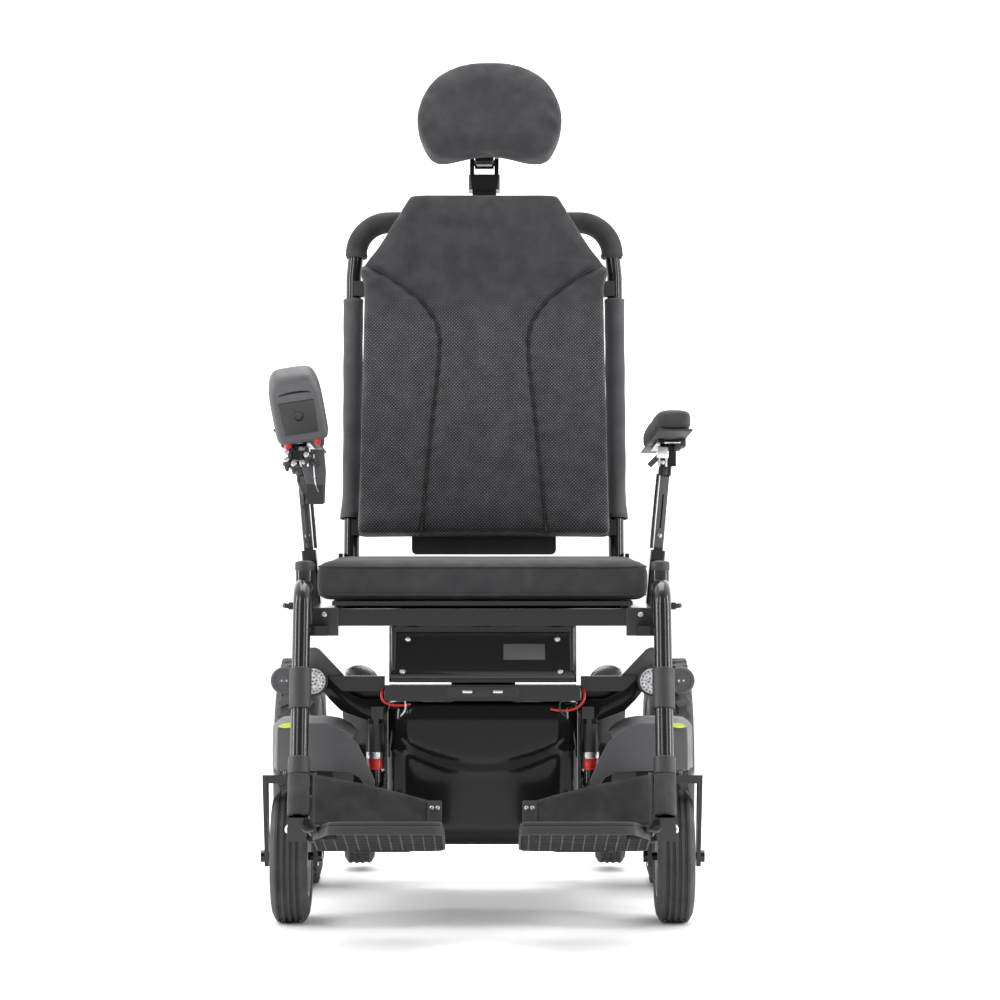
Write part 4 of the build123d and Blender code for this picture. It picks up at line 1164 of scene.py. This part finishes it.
# --- seat front, arms, joystick -------------------------------------------------------
def make_seat_trim():
    """Front rail clamps and the visible bolts of the seat frame."""
    for name, side in SIDES:
        place(block(f"rail_clamp_{name}", axes((side * 0.225, -0.3005, 0.438)), (0.040, 0.004, 0.040),
            "black_plastic", 0.0015), "seat", "black_metal")
        for tag, z in (("low", 0.428), ("high", 0.448)):
            place(bolt(f"clamp_bolt_{name}_{tag}", (side * 0.225, -0.3022, z), (0, -1, 0), 0.004),
                "seat")
        place(bolt(f"recline_bolt_{name}", (side * 0.2252, 0.142, 0.500), (side, 0, 0), 0.0075), "seat")
        place(bolt(f"rail_bolt_{name}", (side * 0.2452, -0.02, 0.444), (side, 0, 0), 0.005), "seat")


def make_grips():
    """The turned lower ends of the push grips' foam."""
    for name, side in SIDES:
        start = back_point(side * 0.2014, 0.505, 0) - BACK_UP * 0.004
        place(turned(f"grip_end_{name}", axes(start, (1, 0, 0), BACK_UP),
            [(0.0124, 0), (0.0165, 0.001), (0.0172, 0.004), (0.0165, 0.008)], "foam", 32), "backrest")


ARM_LEAN = math.radians(5.2)
ARM_Y, POST_DEEP = 0.010, 0.032


def arm_line(side):
    """The foot, the direction and the head of an arm's upright."""
    up = Vector((side * math.sin(ARM_LEAN), 0, math.cos(ARM_LEAN)))
    foot = Vector((side * 0.258, ARM_Y, 0.470))
    return foot, up, foot + up * 0.196


def make_arm_uprights():
    """Face bar, slot, cap, knob and rod of each upright, and the joint under its pad."""
    face = -POST_DEEP / 2
    for name, side in SIDES:
        foot, up, head = arm_line(side)
        body = f"armrest_{name}"
        place(block(f"upright_slot_{name}", axes(foot + up * 0.125 + Vector((0, face - 0.0003, 0)),
            (1, 0, 0), up), (0.003, 0.001, 0.052), "black_metal", 0.0004), body)
        place(block(f"upright_face_{name}", axes(foot + up * 0.124 + Vector((0, face - 0.0002, 0)),
            (1, 0, 0), up), (0.0136, 0.0012, 0.108), "grey_plastic", 0.0005), body)
        place(bolt(f"upright_screw_{name}", foot + up * 0.088 + Vector((0, face - 0.001, 0)),
            (0, -1, 0), 0.0036), body)
        cap = ring_of(f"upright_cap_{name}", axes(foot + up * 0.187, (1, 0, 0), up),
            [(0.0085, -0.008), (0.0100, -0.007), (0.0100, 0.006), (0.0085, 0.007)], "black_plastic", 40)
        for vertex in cap.data.vertices:
            vertex.co.y = ARM_Y + (vertex.co.y - ARM_Y) * 1.72
        place(cap, body)
        knob_at = axes(foot + up * 0.040 + Vector((side * 0.002, -0.0225, 0)), (1, 0, 0), (0, -1, 0))
        place(turned(f"height_knob_{name}", knob_at, [(0.004, 0), (0.004, 0.006), (0.010, 0.007),
            (0.0115, 0.012), (0.0105, 0.018), (0, 0.0195)], "black_plastic", 24), "seat")
        front = Vector((head.x - side * 0.006, ARM_Y - 0.030, head.z + 0.018))
        place(block(f"pad_block_{name}", axes(front), (0.018, 0.013, 0.018), "aluminium", 0.0015), body)
        for tag, dx in (("in", -0.0055), ("out", 0.0055)):
            place(block(f"pad_clevis_{name}_{tag}", axes(front + Vector((dx, 0.002, -0.0145))),
                (0.003, 0.012, 0.014), "steel", 0.0008), body)
        place(bolt(f"pad_pin_{name}", front + Vector((0, -0.0045, -0.0150)), (0, -1, 0), 0.0032), body)
        place(pipe(f"pad_lever_{name}", [front + Vector((-side * 0.006, 0, -0.006)),
            front + Vector((-side * 0.014, -0.002, -0.014)), front
            + Vector((-side * 0.020, -0.003, -0.020))], 0.0042, "black_plastic"), body)
        for tag, across, drop in (("a", 0.014, 0.009), ("b", 0.021, 0.005)):
            place(block(f"pad_step_{name}_{tag}", arm_pad_axes(side, side * across, -0.030, -drop),
                (0.009, 0.030, 0.012), "black_plastic", 0.0012), body)
        place(block(f"pad_strip_{name}", arm_pad_axes(side, side * 0.004, -0.052, -0.0062),
            (0.024, 0.012, 0.002), "aluminium", 0.0006), body)
        inner = Vector((-side * 0.0105, face + 0.002, 0))
        place(pipe(f"upright_rod_{name}", [foot + up * 0.069 + inner, foot + up * 0.120 + inner * 1.1,
            foot + up * 0.182 + inner], 0.0026, "black_metal"), body)


def make_joystick_clamp():
    """The tapered side plate, its two thumb screws and the knuckles that hold the controller's arm."""
    body = "armrest_right"
    head = arm_line(-1.0)[-1]
    place(plate("joystick_cheek", facing_front(ARM_Y - 0.0265),
        [(-0.280, 0.688), (-0.240, 0.688), (-0.237, 0.655), (-0.239, 0.606), (-0.266, 0.606),
        (-0.267, 0.634)], 0.004, "grey_plastic", 0.001), body)
    place(pipe("cheek_rib", [(-0.256, ARM_Y - 0.031, 0.680), (-0.2555, ARM_Y - 0.031, 0.655),
        (-0.2530, ARM_Y - 0.031, 0.632), (-0.2485, ARM_Y - 0.031, 0.624)], 0.0011, "steel"), body)
    place(block("cheek_sleeve", axes((-0.2545, ARM_Y - 0.0275, 0.620)), (0.027, 0.009, 0.030),
        "black_plastic", 0.002), body)
    eye = Vector((-0.268, -0.196, head.z + 0.011))
    for index, (dx, dz) in enumerate(((-0.017, 0.004), (-0.017, -0.006), (-0.006, -0.012),
            (0.012, 0.001))):
        place(bolt(f"eye_bolt_{index}", eye + Vector((dx, -0.0135, dz)), (0, -1, 0), 0.0042), body)
    for index, (dx, dz) in enumerate(((-0.016, -0.009), (-0.006, -0.013))):
        at = axes(eye + Vector((dx, -0.008, dz)), (1, 0, 0), (0, 0, -1))
        place(turned(f"thumb_screw_{index}", at, [(0.0035, 0), (0.0062, 0.001), (0.0062, 0.006),
            (0.0040, 0.0075), (0.0022, 0.014), (0, 0.0150)], "black_plastic", 20), body)
    for index, dx in enumerate((-0.012, 0.012)):
        place(ring_of(f"eye_knuckle_{index}", axes(eye + Vector((dx, 0, 0)), (0, 1, 0), (1, 0, 0)),
            [(0.0100, -0.003), (0.0122, -0.002), (0.0122, 0.002), (0.0100, 0.003)], "black_plastic",
            32), body)


POD = Vector((-0.268, -0.226, 0.748))
PITCH = math.radians(58.0)
POD_HALF_WIDTH, POD_HALF_LENGTH = 0.0385, 0.0568
WELL_RADIUS, WELL_UP, WELL_DEPTH = 0.0245, -0.018, 0.0255
POD_ROLL = Matrix.Rotation(-math.radians(9.0), 3, "Y")
POD_SIDE = POD_ROLL @ Vector((1, 0, 0))
POD_FACE = POD_ROLL @ Vector((0, math.sin(PITCH), math.cos(PITCH)))
POD_DOWN = POD_FACE.cross(POD_SIDE)


def pod_point(x, down, height):
    return POD + POD_SIDE * x + POD_DOWN * down + POD_FACE * height


def make_joystick():
    """The controller: domed shell, recessed underside, charging socket and two jack plugs."""
    mesh = bmesh.new()
    sectors = 72
    rows = []
    profile = [(-0.0200, 0.80), (-0.0195, 0.86), (-0.017, 0.93), (-0.010, 0.985), (0.0, 1.0),
        (0.012, 0.985), (0.018, 0.955), (0.0200, 0.90)]
    for height, scale in profile:
        row = []
        for angle in angles(sectors):
            c, s = math.cos(angle), math.sin(angle)
            x = POD_HALF_WIDTH * math.copysign(abs(c) ** (0.20 if s > 0 else 0.36), c) * scale
            d = POD_HALF_LENGTH * math.copysign(abs(s) ** (0.20 if s > 0 else 0.80),
                s) * (0.06 + 0.94 * scale)
            row.append(mesh.verts.new(pod_point(x, d, height)))
        rows.append(row)
    bridge(mesh, rows)
    mesh.faces.new(rows[0])
    hole = [mesh.verts.new(pod_point(WELL_RADIUS * math.cos(a), WELL_UP + WELL_RADIUS * math.sin(a),
        0.0200)) for a in angles(sectors)]
    floor = [mesh.verts.new(v.co - POD_FACE * WELL_DEPTH) for v in hole]
    bridge(mesh, [rows[-1], hole, floor])
    mesh.faces.new(floor)
    place(from_bmesh("joystick_shell", mesh, "grey_plastic"), "joystick", "black_plastic",
        ("joystick_pod",))
    under = axes(pod_point(0, 0.006, -0.0202), POD_SIDE, -POD_FACE)
    place(plate("pod_panel", under, [(-0.024, -0.030), (0.024, -0.030), (0.026, 0.024),
        (-0.026, 0.024)], 0.0016, "black_plastic", 0.001), "joystick")
    place(pipe("pod_band", [pod_point(-0.0355, -0.016, -0.010), pod_point(-0.030, -0.030, -0.0188),
        pod_point(0, -0.034, -0.0206), pod_point(0.030, -0.030, -0.0188),
        pod_point(0.0355, -0.016, -0.010)], 0.0016, "shroud"), "joystick", "black_plastic")
    socket_at = axes(pod_point(0, 0.006, -0.0212), POD_SIDE, -POD_FACE)
    place(turned("charge_socket", socket_at, [(0.0075, 0), (0.0075, 0.0016), (0.0058, 0.0018),
        (0.0054, -0.002), (0, -0.002)], "black_metal", 32), "joystick", "black_plastic")
    for tag, x in (("a", -0.024), ("b", 0.020)):
        at = axes(pod_point(x, 0.050, -0.013), POD_SIDE, POD_DOWN)
        place(turned(f"jack_plug_{tag}", at, [(0.0052, 0), (0.0052, 0.0085), (0.0046, 0.0098),
            (0, 0.010)], "red", 28), "joystick")
    centre = pod_point(0, WELL_UP, 0.008)
    boot_at = axes(centre, POD_SIDE, POD_FACE)
    place(turned("stick_boot", boot_at, [(0.0208, 0.0115), (0.0203, 0.0130), (0.0195, 0.0124),
        (0.0182, 0.0148), (0.0160, 0.0142), (0.0140, 0.0180), (0.0110, 0.0172), (0.0095, 0.0240),
        (0.0070, 0.0236), (0.0060, 0.0300), (0.0045, 0.0300)], "foam", 48), "stick", "black_plastic")
    place(turned("stick_knob", boot_at, [(0.0052, -0.004), (0.0050, 0.038), (0.0085, 0.040),
        (0.0108, 0.045), (0.0106, 0.051), (0.0088, 0.0555), (0.0050, 0.0572), (0, 0.0572)],
        "black_plastic", 40), "stick", "black_plastic", ("joystick_stick",))
    place(block("power_key", axes(pod_point(0, 0.034, 0.0185), POD_SIDE, POD_FACE),
        (0.024, 0.014, 0.009), "red", 0.002), "button", "red", ("power_button",))


def make_lead_clips():
    """Two clips that hold the lead against the right upright."""
    foot, up, _ = arm_line(-1.0)
    for index, along_post in enumerate((0.080, 0.132)):
        place(block(f"lead_clip_{index}", axes(foot + up * along_post + Vector((0, -0.0185, 0)),
            (1, 0, 0), up), (0.009, 0.007, 0.006), "black_plastic", 0.0012), "armrest_right")


# --- leg rests ------------------------------------------------------------------------
FOOT_PITCH = math.radians(14.0)
FOOT_UP = Vector((0, math.sin(FOOT_PITCH), math.cos(FOOT_PITCH)))
FOOT_HEEL = Vector((0, math.cos(FOOT_PITCH), -math.sin(FOOT_PITCH)))
FOOT_ORIGIN = Vector((0, -0.405, 0.140))


def foot_point(x, along_heel, height):
    point = FOOT_ORIGIN + FOOT_HEEL * along_heel + FOOT_UP * height
    point.x = x
    return point


def tube_y(z):
    """Where the hanger tube's centre line runs at a height below its bend."""
    return -0.372 - 0.098 * (0.488 - z) / 0.311


def make_hangers():
    """Top cap, sleeve, collar, strap loop, clamp bolts and release tip of each hanger."""
    tube_dir = Vector((0, -0.098, -0.311)).normalized()
    for name, side in SIDES:
        x = side * 0.252
        body = f"hanger_{name}"
        place(turned(f"hanger_cap_{name}", axes((x, -0.318, 0.5215)),
            [(0.0128, -0.010), (0.0134, -0.009), (0.0134, -0.001), (0.0124, 0.0020), (0.0060, 0.0036),
            (0, 0.0040)], "black_plastic", 48), body)
        for tag, z_high, z_low, radius in (("sleeve", 0.376, 0.321, 0.0154),
                ("collar", 0.256, 0.233, 0.0154)):
            start = Vector((x, tube_y(z_high), z_high))
            length = (z_high - z_low) / abs(tube_dir.z)
            at = axes(start, (1, 0, 0), tube_dir)
            profile = [(0.0127, 0), (radius - 0.001, 0), (radius, 0.001), (radius, length - 0.001),
                (radius - 0.001, length), (0.0127, length)]
            place(turned(f"hanger_{tag}_{name}", at, profile, "black_plastic", 48), body)
        loop_top = Vector((x, tube_y(0.233), 0.233))
        place(turned(f"strap_loop_{name}", axes(loop_top, (1, 0, 0), tube_dir),
            [(0.0127, 0), (0.0150, 0.0005), (0.0153, 0.012), (0.0150, 0.026), (0.0154, 0.040),
            (0.0150, 0.0575), (0.0127, 0.058)], "webbing", 48), body)
        for tag, dy in (("front", -0.4925), ("rear", -0.4475)):
            place(bolt(f"foot_clamp_bolt_{name}_{tag}", (side * 0.2652, (dy - 0.47) / 2, 0.160),
                (side, 0, 0), 0.005), body)
        place(pipe(f"release_tip_{name}", [(side * 0.271, -0.345, 0.461), (side * 0.273, -0.352, 0.462),
            (side * 0.279, -0.356, 0.463)], 0.0034, "black_plastic"), f"release_lever_{name}")


def make_footplates():
    """Toe-up plates: smooth tread, toe lip with a scoop by the post, ribbed underside."""
    inner, outer, length = 0.052, 0.228, 0.159
    for name, side in SIDES:
        at = Matrix.Translation(FOOT_ORIGIN) @ Matrix(((1, 0, 0), (0, FOOT_HEEL.y, FOOT_UP.y),
            (0, FOOT_HEEL.z, FOOT_UP.z))).to_4x4()
        outline = [(inner + 0.012, -length), (inner + 0.003, -length + 0.003), (inner, -length + 0.014),
            (inner, -0.016), (inner + 0.006, -0.003), (inner + 0.020, 0.0), (0.098, 0.0),
            (0.104, 0.009), (0.176, 0.009), (0.182, 0.0), (outer - 0.012, 0.0), (outer - 0.003, -0.004),
            (outer, -0.014), (outer, -0.040), (outer, -0.112), (outer - 0.010, -0.126),
            (outer - 0.014, -0.140), (outer - 0.022, -0.155), (outer - 0.036, -length)]
        deck = plate("deck", at @ Matrix.Translation((0, 0, -0.006)),
            [(side * x, y) for x, y in outline], 0.006, "black_plastic", 0.0015)
        parts = [deck]
        rim_points = [foot_point(side * x, y, -0.0118) for x, y in outline]
        rim = []
        for a, b in zip(rim_points, rim_points[1:] + rim_points[:1]):
            middle, run = (a + b) / 2, b - a
            rim.append(block("rim", axes(middle, run, FOOT_UP), (run.length + 0.0015, 0.003, 0.0118),
                "black_plastic", 0.0005))
        parts += rim
        for index in range(11):
            x = inner + 0.012 + index * (outer - inner - 0.024) / 10
            reach = length - 0.012 if x < outer - 0.030 else length - 0.050
            parts.append(block("rib", axes(foot_point(side * x, -reach / 2 - 0.002, -0.0115), (1, 0, 0),
                FOOT_UP), (0.0022, reach, 0.011), "black_plastic", 0.0004))
        for index in range(10):
            y = -0.010 - index * (length - 0.020) / 9
            reach = outer - inner - (0.004 if y > -0.11 else 0.034)
            parts.append(block("rib", axes(foot_point(side * (inner + 0.002 + reach / 2), y, -0.0115),
                (1, 0, 0), FOOT_UP), (reach, 0.0022, 0.011), "black_plastic", 0.0004))
        for along_heel in (-0.121, -0.025):
            barrel = axes(foot_point(side * 0.236, along_heel, 0), (1, 0, 0), FOOT_HEEL)
            parts.append(ring_of("knuckle", barrel, [(0.0052, -0.009), (0.0088, -0.009),
                (0.0088, 0.009), (0.0052, 0.009)], "black_plastic", 36))
            parts.append(block("web", axes(foot_point(side * 0.2275, along_heel, -0.004), (1, 0, 0),
                FOOT_UP), (0.010, 0.018, 0.008), "black_plastic", 0.001))
        place(join(f"footplate_deck_{name}", parts), f"footplate_{name}", "black_plastic",
            (f"footplate_{name}",))
        grip = bmesh.new()
        for index in range(6):
            for row in range(6 if index == 5 else 7):
                spot = foot_point(side * (inner + 0.026 + index * 0.024), -0.018 - row * 0.020, 0.0)
                bmesh.ops.create_cube(grip, size=1.0, matrix=axes(spot, (1, 0, 0), FOOT_UP)
                    @ Matrix.Diagonal((0.010, 0.004, 0.0014, 1)))
        place(from_bmesh(f"footplate_treads_{name}", grip, "foam", 0.0004, 1), f"footplate_{name}",
            "black_plastic")


def make_heel_straps():
    """Wide webbing behind the heels: a band that sags a little, with a riveted inner tab."""
    for name, side in SIDES:
        mesh = bmesh.new()
        columns, rows = 36, 10
        grid = []
        for row in range(rows + 1):
            v = row / rows
            line = []
            for column in range(columns + 1):
                u = column / columns
                x = 0.058 + (0.2365 - 0.058) * u
                sag = 0.0035 * math.sin(math.pi * u)
                lower = 0.0045 + 0.0155 * u
                upper = 0.0495 + 0.0420 * u + 0.003 * math.sin(math.pi * u)
                height = lower + (upper - lower) * v
                y = 0.0052 + sag * math.sin(math.pi * v) + 0.0008 * math.sin(u * 19)
                line.append(mesh.verts.new(foot_point(side * x, y, height)))
            grid.append(line)
        bridge(mesh, grid, closed=False)
        band = from_bmesh(f"heel_band_{name}", mesh, "webbing")
        thicken(band, 0.0022)
        place(band, f"footplate_{name}", "webbing", (f"heel_strap_{name}",))
        place(block(f"strap_tab_{name}", axes(foot_point(side * 0.066, 0.002, 0.027), (1, 0, 0),
            FOOT_UP), (0.020, 0.004, 0.053), "black_plastic", 0.0015), f"footplate_{name}")
        for tag, dx in (("a", 0.062), ("b", 0.070)):
            place(bolt(f"strap_rivet_{name}_{tag}", foot_point(side * dx, -0.0002, 0.043), -FOOT_HEEL,
                0.0032), f"footplate_{name}")


make_seat_trim()
make_grips()
make_arm_uprights()
make_joystick_clamp()
make_joystick()
make_lead_clips()
make_hangers()
make_footplates()
make_heel_straps()
